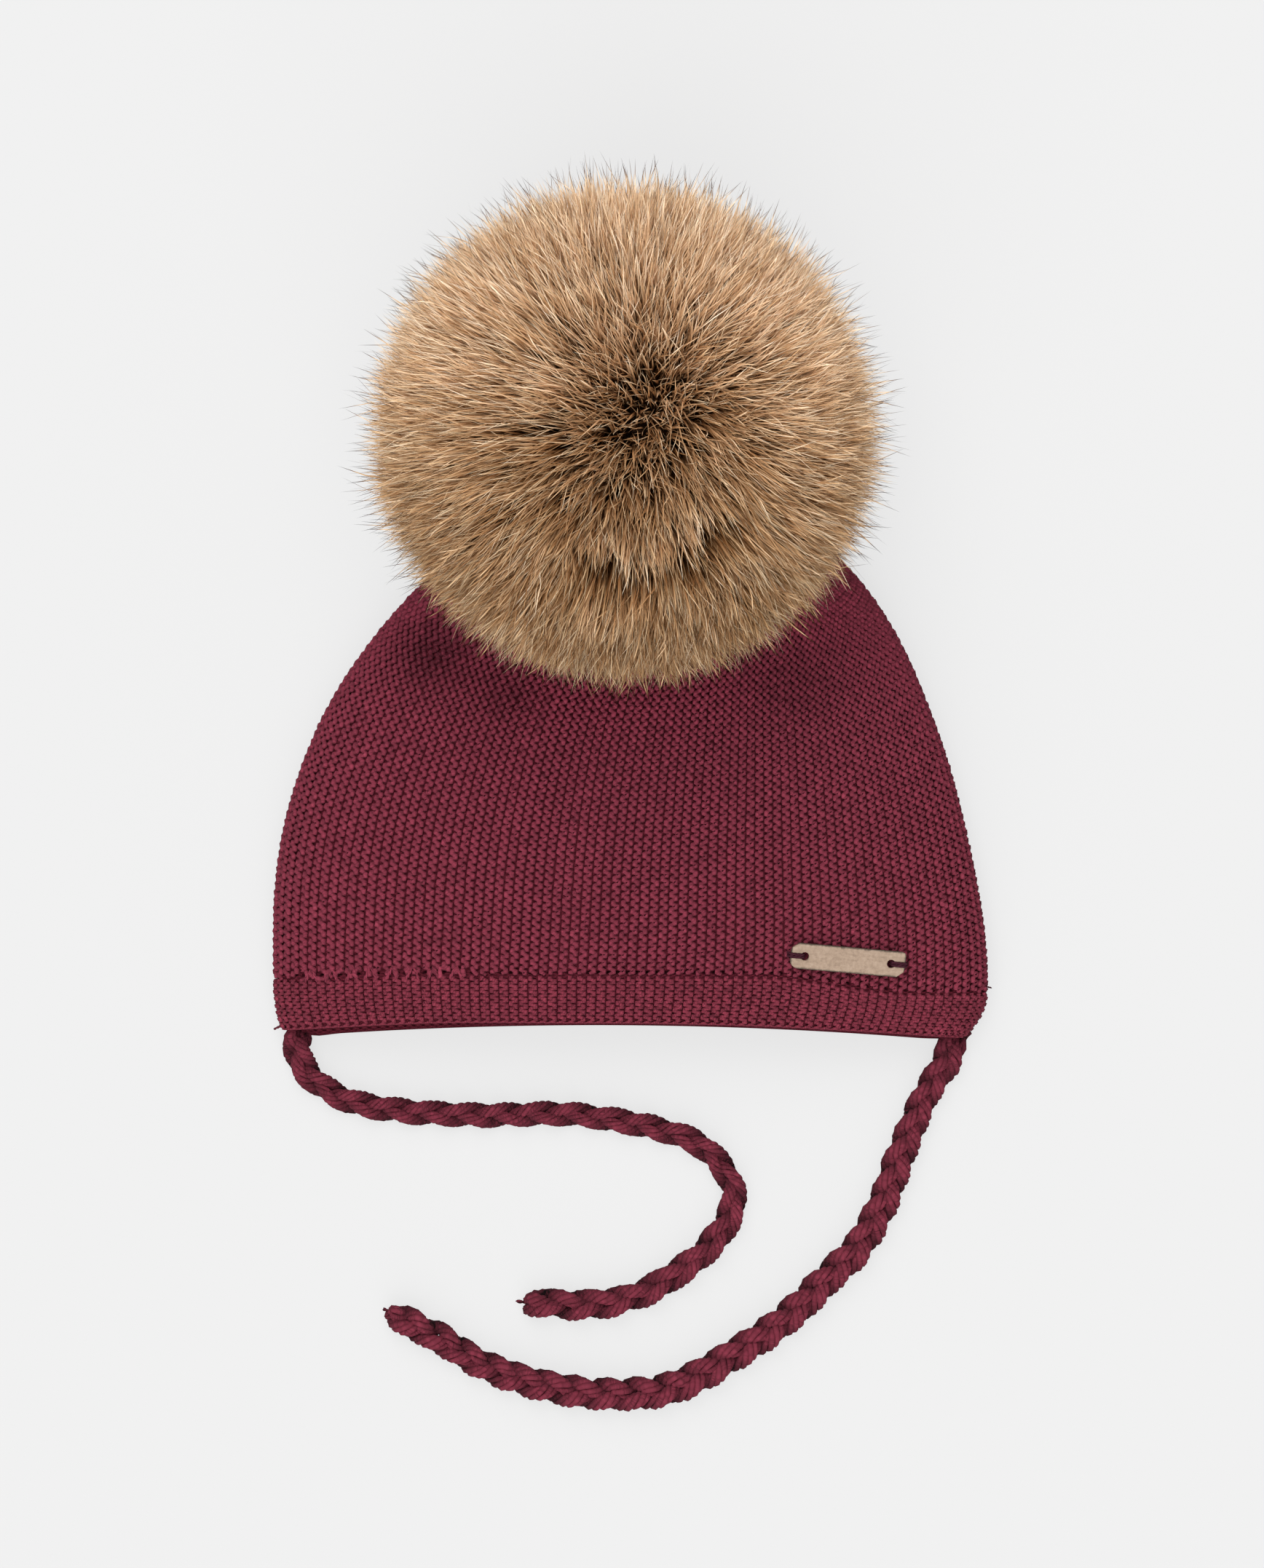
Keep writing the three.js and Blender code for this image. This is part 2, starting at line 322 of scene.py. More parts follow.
def fibre_group():
    tree, given, out = group(
        "yarn_fibres",
        [("Map", VECTOR, None), ("Colour", COLOUR, (0.2, 0.02, 0.04, 1)), ("Tone spread", FLOAT, 0.2),
         ("Streak depth", FLOAT, 0.4), ("Leg shade", FLOAT, 0.0)],
        [("Colour", COLOUR), ("Height", FLOAT)],
    )
    u, v = split(tree, given.outputs["Map"])
    streaks = noise(tree, scaled(tree, given.outputs["Map"], FIBRE_STRETCH), 1.0, 3.0, 0.6)
    tone = times(tree, minus(tree, u, 0.5), given.outputs["Tone spread"])
    streak = times(tree, minus(tree, streaks, 0.5), given.outputs["Streak depth"])
    lightness = plus(tree, plus(tree, tone, times(tree, streak, STREAK_STRENGTH)), 1.0)
    # Leg shade is painted shade: it darkens the map where a stitch's turn dips behind its neighbours.
    swing = math_node(tree, "SINE", times(tree, v, 2 * math.pi))
    behind = minus(tree, 1.0, math_node(tree, "ABSOLUTE", swing))
    shade = minus(tree, 1.0, times(tree, behind, given.outputs["Leg shade"]))
    yarn_colour = multiplied(tree, given.outputs["Colour"], times(tree, lightness, shade))
    tree.links.new(yarn_colour, out.inputs["Colour"])
    tree.links.new(streaks, out.inputs["Height"])
    return tree


def yarn_material(name, colour, tone_spread, streak_depth, leg_shade=0.0):
    """leg_shade paints shade on the turns of a stitch that dip behind its neighbours."""
    made, tree, shader = material(
        name, 0.85, Specular_IOR_Level=0.12, Sheen_Weight=0.08, Sheen_Roughness=0.4,
        Sheen_Tint=(0.9, 0.3, 0.4, 1),
    )
    fibres = placed_group(tree, yarn_fibres, Colour=colour, Tone_spread=tone_spread,
                          Streak_depth=streak_depth, Leg_shade=leg_shade)
    tree.links.new(own_map(tree, STRAND_MAP), fibres.inputs["Map"])
    tree.links.new(fibres.outputs["Colour"], shader.inputs["Base Color"])
    bump(tree, shader, fibres.outputs["Height"], FIBRE_HEIGHT)
    return made


MAROON = (0.199, 0.0290, 0.050, 1)
HEM_MAROON = (0.174, 0.0249, 0.0422, 1)
TIE_MAROON = (0.083, 0.0118, 0.0205, 1)
PLUM = (0.055, 0.012, 0.022, 1)
yarn_fibres = fibre_group()
knit_yarn = yarn_material("knit_yarn", MAROON, 0.9, 0.6, leg_shade=0.2)
hem_yarn = yarn_material("hem_yarn", HEM_MAROON, 1.1, 1.0, leg_shade=0.1)
tie_yarn = yarn_material("tie_yarn", TIE_MAROON, 1.6, 1.3)
plum_yarn = yarn_material("plum_yarn", PLUM, 0.3, 0.5)

# %% [markdown]
# ## Ties
#
# Each tie is a plait of three soft strands, 210 mm long, lying loose on the floor. A straight tube
# with a rope texture would lose the scalloped edge, so the plait is worked out: each strand swings
# from side to side and passes over and under the other two, twice as fast. A strand is itself five
# plies twisted together. The route is the CAD's own, a centripetal spline through listed points.

# %% Tie routes
TIE_LEFT = [
    (-91.0, -114.0), (-91.2, -118.4), (-88.4, -123.8), (-82.8, -128.4), (-76.0, -131.6),
    (-60.4, -134.2), (-40.0, -135.2), (-18.0, -134.8), (-2.6, -136.8), (12.8, -140.4),
    (19.6, -143.8), (25.4, -149.6), (28.2, -156.8), (27.0, -163.4), (21.8, -171.0),
    (12.8, -178.6), (0.0, -185.4), (-15.4, -187.4), (-29.2, -186.4),
]
TIE_RIGHT = [
    (88.3, -116.0), (86.6, -120.7), (81.4, -129.0), (74.5, -145.0), (69.4, -159.0),
    (62.8, -171.0), (54.4, -179.6), (42.2, -191.4), (28.4, -201.0), (13.6, -209.2),
    (5.4, -211.2), (-9.4, -211.6), (-24.8, -209.2), (-40.0, -204.0), (-53.8, -195.6),
    (-66.6, -189.2),
]
SPLINE_CUTS = 30


def spline(points, step):
    """A centripetal Catmull-Rom curve through the points, cut to even steps."""
    p = np.asarray(points, dtype=float)
    p = np.vstack([2 * p[0] - p[1], p, 2 * p[-1] - p[-2]])
    fine = []
    for a, b, c, d in zip(p, p[1:], p[2:], p[3:]):
        ab, bc, cd = (np.sqrt(np.linalg.norm(v)) for v in (b - a, c - b, d - c))
        start = ((b - a) / ab - (c - a) / (ab + bc) + (c - b) / bc) * bc
        end = ((c - b) / bc - (d - b) / (bc + cd) + (d - c) / cd) * bc
        t = np.linspace(0, 1, SPLINE_CUTS, endpoint=False)[:, None]
        fine.append((2 * t**3 - 3 * t**2 + 1) * b + (t**3 - 2 * t**2 + t) * start
                    + (3 * t**2 - 2 * t**3) * c + (t**3 - t**2) * end)
    fine = np.vstack(fine + [p[-2:-1]])
    run = distances(fine)
    even = np.linspace(0, run[-1], round(run[-1] / step) + 1)
    return np.stack([np.interp(even, run, fine[:, k]) for k in range(fine.shape[1])], 1), even

# %% [markdown]
# A ply is a tube that winds round its strand's middle. Its tone follows the strand's height as
# painted shade, so that the plait is dark in its creases and lighter where a strand lies on top.
# Where a strand ends, its plies close up and get thinner, and the three strands end a little apart,
# as cut yarn does.


# %% Plies
PLIES = 5
PLY_SIDES = 5
PLY_OFFSET = 1.12
PLY_RADIUS = 0.67
PLY_TWIST = 8.5
PLY_UNEVEN = 0.09
PLY_TONES = (0.42, 0.72)
CREASE_PAINTED_SHADE = 0.42
ROUND_TONE = 0.08
MAP_LENGTH = 9.0
STRAND_LIFT = 1.4
END_ROUNDING = 2.6


def helix(path, radius, turns):
    """A path that winds round another one. radius and turns are given for each point."""
    side, top = square_to(path, (0, 0, 1))
    angle = (2 * np.pi * turns)[:, None]
    return path + radius[:, None] * (np.cos(angle) * side + np.sin(angle) * top)


def ply(path, radius, sides, tone, length):
    """One tube with its map. v goes back and forth, so that the map never runs out."""
    corners = tube_points(path, radius, sides)
    around = np.minimum(np.arange(sides), sides - np.arange(sides)) / sides
    tones = np.repeat(tone * np.ones(len(path)), sides)
    u = np.clip(tones + ROUND_TONE * np.tile(around, len(path)), 0, 1)
    v = np.repeat(np.abs(((length / MAP_LENGTH) % 2.0) - 1.0), sides)
    return corners, np.stack([u, v], 1)


def strand_plies(core, lift, run, size, end, random):
    """The twisted plies of one strand."""
    to_go = np.clip((end - run) / END_ROUNDING, 0, 1)
    rounding = np.sqrt(np.maximum(1 - (1 - to_go) ** 2, 0))
    stay = run <= end + 0.5
    plies = []
    for each in range(PLIES):
        turns = run / PLY_TWIST + each / PLIES + random.uniform(-0.02, 0.02)
        path = helix(core, PLY_OFFSET * size * (0.25 + 0.75 * rounding), turns)
        uneven = 1 + PLY_UNEVEN * np.sin(run / 0.9 + random.uniform(0, 6))
        radius = PLY_RADIUS * size * uneven * (0.3 + 0.7 * rounding)
        # Painted shade: a ply is darker where its strand dips into a crease.
        tone = random.uniform(*PLY_TONES) + CREASE_PAINTED_SHADE * lift / STRAND_LIFT
        plies.append(ply(path[stay], radius[stay], PLY_SIDES, tone[stay], run[stay]))
    return plies


# %% Plait
TIE_LEVEL = 3.35
TIE_STEP = 1.0
STRAND_SWING = 2.0
WOBBLE_RUN = 7.0
PITCH_WOBBLE, SIDE_WOBBLE = 0.005, 0.075
ROOT_RUN, TAIL_RUN = 14.0, 9.0
UNDER_HEM = 5.0


def strand_core(strand, centre, length, size, tie, random):
    """The middle of one strand and its lift, from its start under the hem to its end."""
    ahead = unit(np.gradient(centre, axis=0))
    side = np.stack([-ahead[:, 1], ahead[:, 0], 0 * length], 1)
    root = fade(length, 0, ROOT_RUN)
    tail = smoothstep(length, length[-1] - TAIL_RUN, length[-1])
    wobble = np.sin(length / WOBBLE_RUN + random.uniform(0, 6))
    phase = 2 * np.pi * (length / (tie["pitch"] * (1 + PITCH_WOBBLE * wobble)) + strand / 3)
    fan = (strand - 1) * tie["end_spread"] * tail
    swing = STRAND_SWING * size * np.sin(phase) * (1 - 0.2 * tail) + fan + SIDE_WOBBLE * wobble
    lift = STRAND_LIFT * size * np.sin(2 * phase) * (1 - 0.3 * root - 0.3 * tail)
    core = centre + swing[:, None] * side + np.outer(lift, (0, 0, 1))
    return np.vstack([core[:1] - UNDER_HEM * ahead[:1], core]), np.concatenate([lift[:1], lift])


def plait(tie):
    """A whole tie. widths in its row are (distance along it, share of the full size) pairs."""
    random = np.random.default_rng(tie["seed"])
    flat, length = spline(tie["points"], TIE_STEP)
    size = np.interp(length, *np.transpose(tie["widths"]))
    centre = np.column_stack([flat, TIE_LEVEL * size])
    run = np.concatenate([[-UNDER_HEM], length])
    plies = []
    for strand, short in enumerate(tie["shorts"]):
        core, lift = strand_core(strand, centre, length, size, tie, random)
        full = np.concatenate([size[:1], size])
        plies += strand_plies(core, lift, run, full, length[-1] - short, random)
    print(tie["name"], "is", round(length[-1], 1), "mm long")
    return tubes_piece(tie["name"], plies, PLY_SIDES), centre


# %% Left and right tie
TIES = (
    {"name": "plait_left", "node": "tie_left", "points": TIE_LEFT, "diameter": 7.0, "pitch": 30.0,
     "seed": 11, "end_spread": 0.9, "shorts": (0.4, 0.0, 0.8),
     "widths": ((0, 1.17), (18, 0.98), (130, 0.98), (150, 1.12), (210, 1.2))},
    {"name": "plait_right", "node": "tie_right", "points": TIE_RIGHT, "diameter": 8.0, "pitch": 25.0,
     "seed": 12, "end_spread": 0.8, "shorts": (1.2, 0.4, 0.0),
     "widths": ((0, 1.22), (15, 1.1), (35, 1.24), (120, 1.3), (160, 1.28), (185, 1.14), (210, 1.34))},
)
for tie in TIES:
    piece, centre = plait(tie)
    finish_piece(piece, tie_yarn, "knit", tie["node"])

# %% [markdown]
# ## The hat's form
#
# The CAD crown is a flat back, two tight folds and a domed front. The same few formulas are repeated
# here, so that cloth and stitches lie on that form. A place on it has two numbers: a runs round the
# hat, 0 at the front's middle and 1 where the right fold starts, with equal steps for equal wales of
# knitting, and y runs from the hem to the top.

# %% Form
CROWN_HALF_WIDTH = 98.0
CROWN_REACH = 137.0
WIDEST_Y = -97.0
CROWN_TOP = 40.0
APEX_ROUNDING = 14.0
SECTIONS = np.array([
    # y, middle's x, height
    (40, 5.0, 10), (20, 4.0, 15), (0, 1.9, 20), (-25, -0.8, 25), (-60, -1.6, 27), (-97, 0.0, 24),
    (-115, -1.1, 21),
], dtype=float)
MID, HEIGHT = 1, 2
SEAM_Y, EDGE_Y = -95.7, -110.3
FRONT_FLATNESS = 2.6
WIDEST_LEVEL = 0.3
FOLD_RUN = 7.0
HEM_DRAW_IN = 3.3
KNIT_WALL = 2.4
HEM_WALL = 4.8


def along(y, column):
    """One column of SECTIONS at any y, as a smooth cubic through the rows."""
    ys, values = SECTIONS[:, 0], SECTIONS[:, column]
    last = len(ys) - 1
    rows = np.arange(len(ys))
    before, after = np.maximum(rows - 1, 0), np.minimum(rows + 1, last)
    slope = (values[after] - values[before]) / (ys[after] - ys[before])
    i = np.clip(np.searchsorted(-ys, -np.asarray(y), side="right") - 1, 0, last - 1)
    span = ys[i + 1] - ys[i]
    t = np.clip((y - ys[i]) / span, 0, 1)
    value = values[i] + (values[i + 1] - values[i]) * (3 * t**2 - 2 * t**3)
    return value + span * (slope[i] * (t**3 - 2 * t**2 + t) + slope[i + 1] * (t**3 - t**2))


def seam_y(x):
    return SEAM_Y - 5 * smoothstep(x, 35, 78) - 1.1 * smoothstep(-x, 50, 95)


def hem_y(x):
    return EDGE_Y - 3.8 * (x / 92) ** 2 - 0.7 * (x / 92)


def front_hem_y(x):
    """The front's edge lies a little higher than the back's, most of all at the left."""
    return hem_y(x) + 0.6 + 0.9 * smoothstep(-x, 10, 60)


def crown_half(y):
    climb = np.maximum(y - WIDEST_Y, 0) / CROWN_REACH
    return CROWN_HALF_WIDTH * np.sqrt(np.maximum(1 - climb**2, 0))


def hem_half(t):
    """Half width at t, which is 0 at the seam and 1 at the lower edge."""
    return CROWN_HALF_WIDTH - HEM_DRAW_IN * t**2


def crown_height(y):
    run = np.clip((CROWN_TOP - y) / APEX_ROUNDING, 0, 1)
    return along(y, HEIGHT) * np.sqrt(np.maximum(1 - (1 - run) ** 2, 0))


# %% Round the hat
def section_table():
    """Runs round the widest cross-section against its share of the width and its fold's angle."""
    high = float(along(WIDEST_Y, HEIGHT))
    wide = WIDEST_LEVEL * high
    turn = np.linspace(np.pi / 2, 0, 600)
    share = np.cos(turn) ** (2 / FRONT_FLATNESS)
    front = np.stack([CROWN_HALF_WIDTH * share, wide + (high - wide) * np.sin(turn)], 1)
    fold = np.linspace(0, np.pi / 2, 60)
    inner = CROWN_HALF_WIDTH - FOLD_RUN
    edge = np.stack([inner + FOLD_RUN * np.cos(fold), wide * (1 - np.sin(fold))], 1)
    girth = distances(front)[-1]
    return distances(front) / girth, share, distances(edge) / girth, fold, inner / girth, girth


FRONT_RUN, FRONT_SHARE, EDGE_RUN, FOLD_ANGLE, BACK_RUN, HALF_GIRTH = section_table()
FOLD_END = 1 + EDGE_RUN[-1]
RING_END = FOLD_END + BACK_RUN
print("front from fold to fold:", round(2 * HALF_GIRTH, 1), "mm")


def section_point(a, y, half, high, mid, low=0.0, skew=0.0):
    """A point of the cross-section at a. skew moves the front's middle sideways, in millimetres."""
    sign = np.where(a < 0, -1.0, 1.0)
    run = np.abs(a)
    share = np.interp(run, FRONT_RUN, FRONT_SHARE) * sign
    share = share + skew * (1 - share**2) / np.maximum(half, 1)
    wide = WIDEST_LEVEL * high
    angle = np.interp(run - 1, EDGE_RUN, FOLD_ANGLE)
    back = np.clip((RING_END - run) / BACK_RUN, 0, 1)
    fold = np.minimum(FOLD_RUN, half / 2)
    front_z = wide + (high - wide) * np.sqrt(np.maximum(1 - np.abs(share) ** FRONT_FLATNESS, 0))
    x = np.where(run <= 1, half * share, sign * (half - fold * (1 - np.cos(angle))))
    x = np.where(run >= FOLD_END, sign * (half - fold) * back, x)
    z = np.where(run <= 1, front_z, wide - (wide - low) * np.sin(angle))
    z = np.where(run >= FOLD_END, low, z)
    return np.stack([mid + x, np.broadcast_to(y, x.shape), z], -1)


def section_x(a, half):
    """How far a lies from the middle of a cross-section, to the left or right."""
    return section_point(a, 0 * a, half, 0.0, 0.0)[..., 0]


# %% [markdown]
# Where the pom-pom's weight presses on the knit it leaves soft dents beside the fur. They are part
# of the form, so that cloth and stitches sink together.

# %% Crown and hem as formulas
WALE_DRIFT = 0.10
CORNER_CUT = 3.0
DENTS = (
    # x, y, depth, reach
    (-53.0, -6.0, 5.0, 7.5), (-33.0, -17.0, 3.2, 6.5), (44.0, -13.0, 2.2, 8.0),
)


def sunk_at(points):
    """How deep the dents are at each place of the front."""
    sunk = np.zeros(points.shape[:-1])
    for x, y, depth, reach in DENTS:
        away = (points[..., 0] - x) ** 2 + (points[..., 1] - y) ** 2
        sunk = sunk + depth * np.exp(-away / (2 * reach**2))
    return sunk * smoothstep(points[..., 2], 4, 14)


def dented(points):
    sunk = sunk_at(points)
    return points - np.stack([0 * sunk, 0 * sunk, sunk], -1)


def crown_point(a, y):
    drift = WALE_DRIFT * np.maximum(y - WIDEST_Y, 0)
    return dented(section_point(a, y, crown_half(y), crown_height(y), along(y, MID), skew=drift))


def front_height(x, y):
    high = crown_height(y)
    wide = WIDEST_LEVEL * high
    side = np.minimum(np.abs(x - along(y, MID)) / crown_half(y), 1)
    return wide + (high - wide) * np.sqrt(1 - side**FRONT_FLATNESS)


def corner_cut(points, t):
    """The hem's right corner is drawn in towards the tie."""
    cut = CORNER_CUT * np.maximum(t, 0) ** 3 * smoothstep(points[..., 0], 78, 96)
    return points - np.stack([cut, 0 * cut, 0 * cut], -1)


def hem_point(a, t):
    x = section_x(a, hem_half(t))
    y = seam_y(x) + (front_hem_y(x) - seam_y(x)) * t
    return corner_cut(section_point(a, y, hem_half(t), along(y, HEIGHT), along(y, MID)), t)


def on_surface(point, a, b):
    """Points and outward normals of a surface that is given as a function of two numbers."""
    step = 1e-3
    across = point(a + step, b) - point(a - step, b)
    upward = point(a, b + step) - point(a, b - step)
    return point(a, b), unit(np.cross(across, upward))


# %% [markdown]
# ## Knitted stitches
#
# The crown shows the purl side. In the picture each wale is a column of rounded bumps, left and right
# by turns, that run into each other like a thick zigzag cord, with a small dark hole beside each
# turn. These are the heads and feet of the loops. A bump texture would look printed on and leave the
# folds smooth, so each wale is modelled as that cord: a tube that swings once in each course. Courses
# sag in the middle like a smile, and the wales close up towards the top, because the hat has the same
# count all the way. At the seam's left the yarn is pushed aside round a row of small holes.

# %% One wale
WALE = 2 * HALF_GIRTH / 77
CHAIN_STEPS = 6
CHAIN_SIDES = 5
SIDE_JITTER, COURSE_JITTER, HEIGHT_JITTER, THICK_JITTER = 0.025, 0.04, 0.3, 0.04
COURSE_DIP, TURN_DIP = 0.45, 0.65
THIN, THICKER_TURN, END_THIN = 0.88, 0.26, 0.6
STITCH_TONE = 0.5
JITTER_TONE = 0.07
DENT_PAINTED_SHADE = 0.12
BESIDE_FUR_PAINTED_LIGHT = 0.56
EYELETS_X = (-89.6, -84.4, -78.8, -73.6, -67.8, -62.2, -56.2, -50.8, -44.2)
EYELET_RADIUS = 1.6
EYELET_RISE = 0.2
POMPOM = {"x": -1.5, "y": 48.6, "z": 54.0, "radius": 67.0, "half_height": 62.0}


def open_eyelets(points):
    """Pushes yarn aside round the small holes in the seam."""
    for x in EYELETS_X:
        off = points[:, :2] - (x, seam_y(x) + EYELET_RISE)
        away = np.linalg.norm(off, axis=1, keepdims=True)
        push = np.maximum(EYELET_RADIUS - away, 0)
        points[:, :2] += off / np.maximum(away, 0.1) * push
    return points


def into_pompom(points):
    """Distance from the pom-pom's middle, as a share of its radii."""
    off = points - [POMPOM["x"], POMPOM["y"], POMPOM["z"]]
    return np.linalg.norm(off / [POMPOM["radius"], POMPOM["radius"], POMPOM["half_height"]], axis=-1)


def wale_chain(column, courses, place, stitch, random):
    """One wale from the first to the last of its courses. place takes a and the course.

    A stitch swings by a share of the wale, and its relief, radius and sink are in millimetres. slant
    lifts its right turns over the left ones of the next wale.
    """
    first, last = courses
    course = np.arange(math.ceil(first * CHAIN_STEPS), math.floor(last * CHAIN_STEPS) + 1) / CHAIN_STEPS
    turn = 2 * np.pi * course
    bumps = np.arange(math.floor(2 * course[0]), math.ceil(2 * course[-1]) + 1) / 2
    jitter = np.stack([np.interp(course, bumps, random.normal(0, 1, len(bumps))) for _ in range(4)])
    a = (column + stitch["swing"] * np.sin(turn) + SIDE_JITTER * jitter[0]) * WALE / HALF_GIRTH
    here, normal = on_surface(place, a, course + COURSE_JITTER * jitter[1])
    wave = stitch["slant"] * np.sin(turn) - COURSE_DIP * np.cos(turn) - TURN_DIP * np.cos(2 * turn)
    out = stitch["relief"] * (wave + HEIGHT_JITTER * jitter[2]) - stitch["sink"]
    thick = stitch["radius"] * (THIN + THICKER_TURN * np.abs(np.sin(turn)) + THICK_JITTER * jitter[3])
    thick[[0, -1]] *= END_THIN
    path = open_eyelets(here + normal * out[:, None])
    path[:, 2] = np.maximum(path[:, 2], thick)
    corners = tube_points(path, thick, CHAIN_SIDES, up=normal)
    # Painted shade: stitches are darker where the dents sink.
    tone = STITCH_TONE + JITTER_TONE * jitter[3] - DENT_PAINTED_SHADE * sunk_at(here)
    # Painted light: stitches are lighter beside the pom-pom, where its shadow falls on the knit.
    tone = tone + BESIDE_FUR_PAINTED_LIGHT * fade(into_pompom(here), 1.0, 1.45)
    u = np.repeat(np.clip(tone, 0.02, 0.95), CHAIN_SIDES)
    v = np.repeat(np.abs(course % 2 - 1), CHAIN_SIDES)
    return corners, np.stack([u, v], 1)


# %% Crown knit
COURSE = 2.18
CROWN_STITCH = {"swing": 0.265, "radius": 0.70, "relief": 0.24, "sink": 0.88, "slant": 0.0}
SMILE = 21.0
SMILE_END = 1.1
SEAM_GAP = -0.8
FUR_HIDES = 0.86
FOLD_WALES = 5
REACH = 38 + FOLD_WALES


def smile(a):
    return SMILE * np.minimum(np.abs(a), SMILE_END) ** 2


def crown_place(a, course):
    return crown_point(a, course * COURSE + smile(a))


def visible_courses(column):
    """First and last course of a wale, from the seam up to where the fur hides it."""
    a = np.array(column * WALE / HALF_GIRTH)
    y = np.arange(-103, CROWN_TOP - 6, 0.2)
    place = crown_point(a, y)
    seen = (place[:, 1] > seam_y(place[:, 0]) + SEAM_GAP) & (into_pompom(place) > FUR_HIDES)
    return (y[seen][0] - smile(a)) / COURSE, (y[seen][-1] - smile(a)) / COURSE


random = np.random.default_rng(21)
for name, columns in (("crown_knit_left", range(-REACH, 0)), ("crown_knit_right", range(REACH + 1))):
    chains = [wale_chain(column, visible_courses(column), crown_place, CROWN_STITCH, random)
              for column in columns]
    finish_piece(tubes_piece(name, chains, CHAIN_SIDES), knit_yarn, "knit", "crown")

# %% [markdown]
# ## Hem
#
# The hem is the same yarn, knitted tighter: its courses are closer, its bumps are lower, and each
# slants over the next wale. It is turned back on itself, which leaves a dark groove at its seam. A
# single yarn runs along the edge, a little thicker at each wale.

# %% Hem knit
HEM_COURSES = 7
HEM_TOP, HEM_BOTTOM, HEM_EDGE = 0.08, 0.94, 0.975
HEM_STITCH = {"swing": 0.38, "radius": 0.57, "relief": 0.17, "sink": 0.66, "slant": 0.9}
EDGE_RADIUS, EDGE_SWELL = 0.36, 0.09
EDGE_SINK, EDGE_WAVE = 0.8, 0.2


def hem_place(a, course):
    return hem_point(a, HEM_BOTTOM + (HEM_TOP - HEM_BOTTOM) * course / HEM_COURSES)


def edge_yarn():
    column = np.arange(-REACH * CHAIN_STEPS, REACH * CHAIN_STEPS + 1) / CHAIN_STEPS
    wave = np.cos(2 * np.pi * column)
    course = np.full(len(column), HEM_COURSES * (HEM_BOTTOM - HEM_EDGE) / (HEM_BOTTOM - HEM_TOP))
    here, normal = on_surface(hem_place, column * WALE / HALF_GIRTH, course + 0.1 * wave)
    path = here + normal * (EDGE_WAVE * wave - EDGE_SINK)[:, None]
    corners = tube_points(path, EDGE_RADIUS + EDGE_SWELL * wave, CHAIN_SIDES, up=normal)
    v = np.repeat(np.abs(column % 2 - 1), CHAIN_SIDES)
    return corners, np.stack([np.full(len(v), 0.5), v], 1)


random = np.random.default_rng(22)
chains = [wale_chain(column, (0, HEM_COURSES), hem_place, HEM_STITCH, random)
          for column in range(-REACH, REACH + 1)]
finish_piece(tubes_piece("hem_knit", chains + [edge_yarn()], CHAIN_SIDES), hem_yarn, "knit", "band")

# %% [markdown]
# ## Cloth under the stitches
#
# Light must not fall through the gaps between loops, and the hat has to be a real bag, open at the
# hem. So a closed wall lies under the loops in front and makes the whole back and the inside, which
# nobody sees in the picture. Its own map counts wales and courses, and a shader group turns them
# into rows of purl bumps, with painted shade in their hollows. The wall is also darker than the yarn
# over it, as painted shade in the gaps between the stitches.


# %% Purl pattern
WALE_MAP = "wales_and_courses"
PURL_HEIGHT = 0.0006


def purl_group():
    tree, given, out = group("purl_bumps", [("Map", VECTOR, None)], [("Height", FLOAT), ("Shade", FLOAT)])
    wale, course = (math_node(tree, "COSINE", times(tree, way, 2 * math.pi))
                    for way in split(tree, given.outputs["Map"]))
    height = plus(tree, times(tree, wale, course), noise(tree, given.outputs["Map"], 6.0, 3.0, 0.6))
    tree.links.new(height, out.inputs["Height"])
    tree.links.new(remap(tree, height, -0.6, 1.4, 0.45, 1.15), out.inputs["Shade"])
    return tree


def cloth_material(name, colour):
    made, tree, shader = material(name, 0.95, Specular_IOR_Level=0.05)
    purl = placed_group(tree, purl_bumps)
    tree.links.new(own_map(tree, WALE_MAP), purl.inputs["Map"])
    base = tree.nodes.new("ShaderNodeRGB")
    base.outputs[0].default_value = colour
    tree.links.new(multiplied(tree, base.outputs[0], purl.outputs["Shade"]), shader.inputs["Base Color"])
    bump(tree, shader, purl.outputs["Height"], PURL_HEIGHT)
    return made


purl_bumps = purl_group()
# Darker than the yarn: painted shade for the gaps between the stitches.
knit_cloth = cloth_material("knit_cloth", (0.16, 0.021, 0.036, 1))
hem_cloth = cloth_material("hem_cloth", (0.145, 0.0187, 0.0325, 1))


# %% Closed walls
def wall_piece(name, rings, rows_v):
    """Joins closed rings of equal length, first to last and back, into one closed wall."""
    count, columns = rings.shape[:2]
    ring, corner = np.meshgrid(np.arange(count), np.arange(columns), indexing="ij")
    after_ring, after = (ring + 1) % count, (corner + 1) % columns
    quads = np.stack([ring * columns + corner, ring * columns + after,
                      after_ring * columns + after, after_ring * columns + corner], -1).reshape(-1, 4)
    piece = mesh_piece(name, rings.reshape(-1, 3), [quads])
    layer = piece.data.uv_layers.new(name=WALE_MAP)
    wales_per_column = 2 * RING_END / columns * HALF_GIRTH / WALE
    u = np.stack([corner, corner + 1, corner + 1, corner], -1).reshape(-1) * wales_per_column
    v = np.stack([rows_v[ring], rows_v[ring], rows_v[after_ring], rows_v[after_ring]], -1).reshape(-1)
    layer.data.foreach_set("uv", np.stack([u, v], 1).astype(np.float32).ravel())
    return piece


def make_faces_point_out(piece):
    bpy.ops.object.select_all(action="DESELECT")
    piece.select_set(True)
    bpy.context.view_layer.objects.active = piece
    bpy.ops.object.mode_set(mode="EDIT")
    bpy.ops.mesh.select_all(action="SELECT")
    bpy.ops.mesh.normals_make_consistent(inside=False)
    bpy.ops.object.mode_set(mode="OBJECT")
    bpy.ops.object.select_all(action="DESELECT")


# %% Crown cloth
CLOTH_SINK = 1.7
CLOTH_LOW = 0.15
CLOTH_BOTTOM = SEAM_Y + 0.1
RING_COLUMNS = 150
RING_A = np.linspace(-RING_END, RING_END, RING_COLUMNS, endpoint=False)


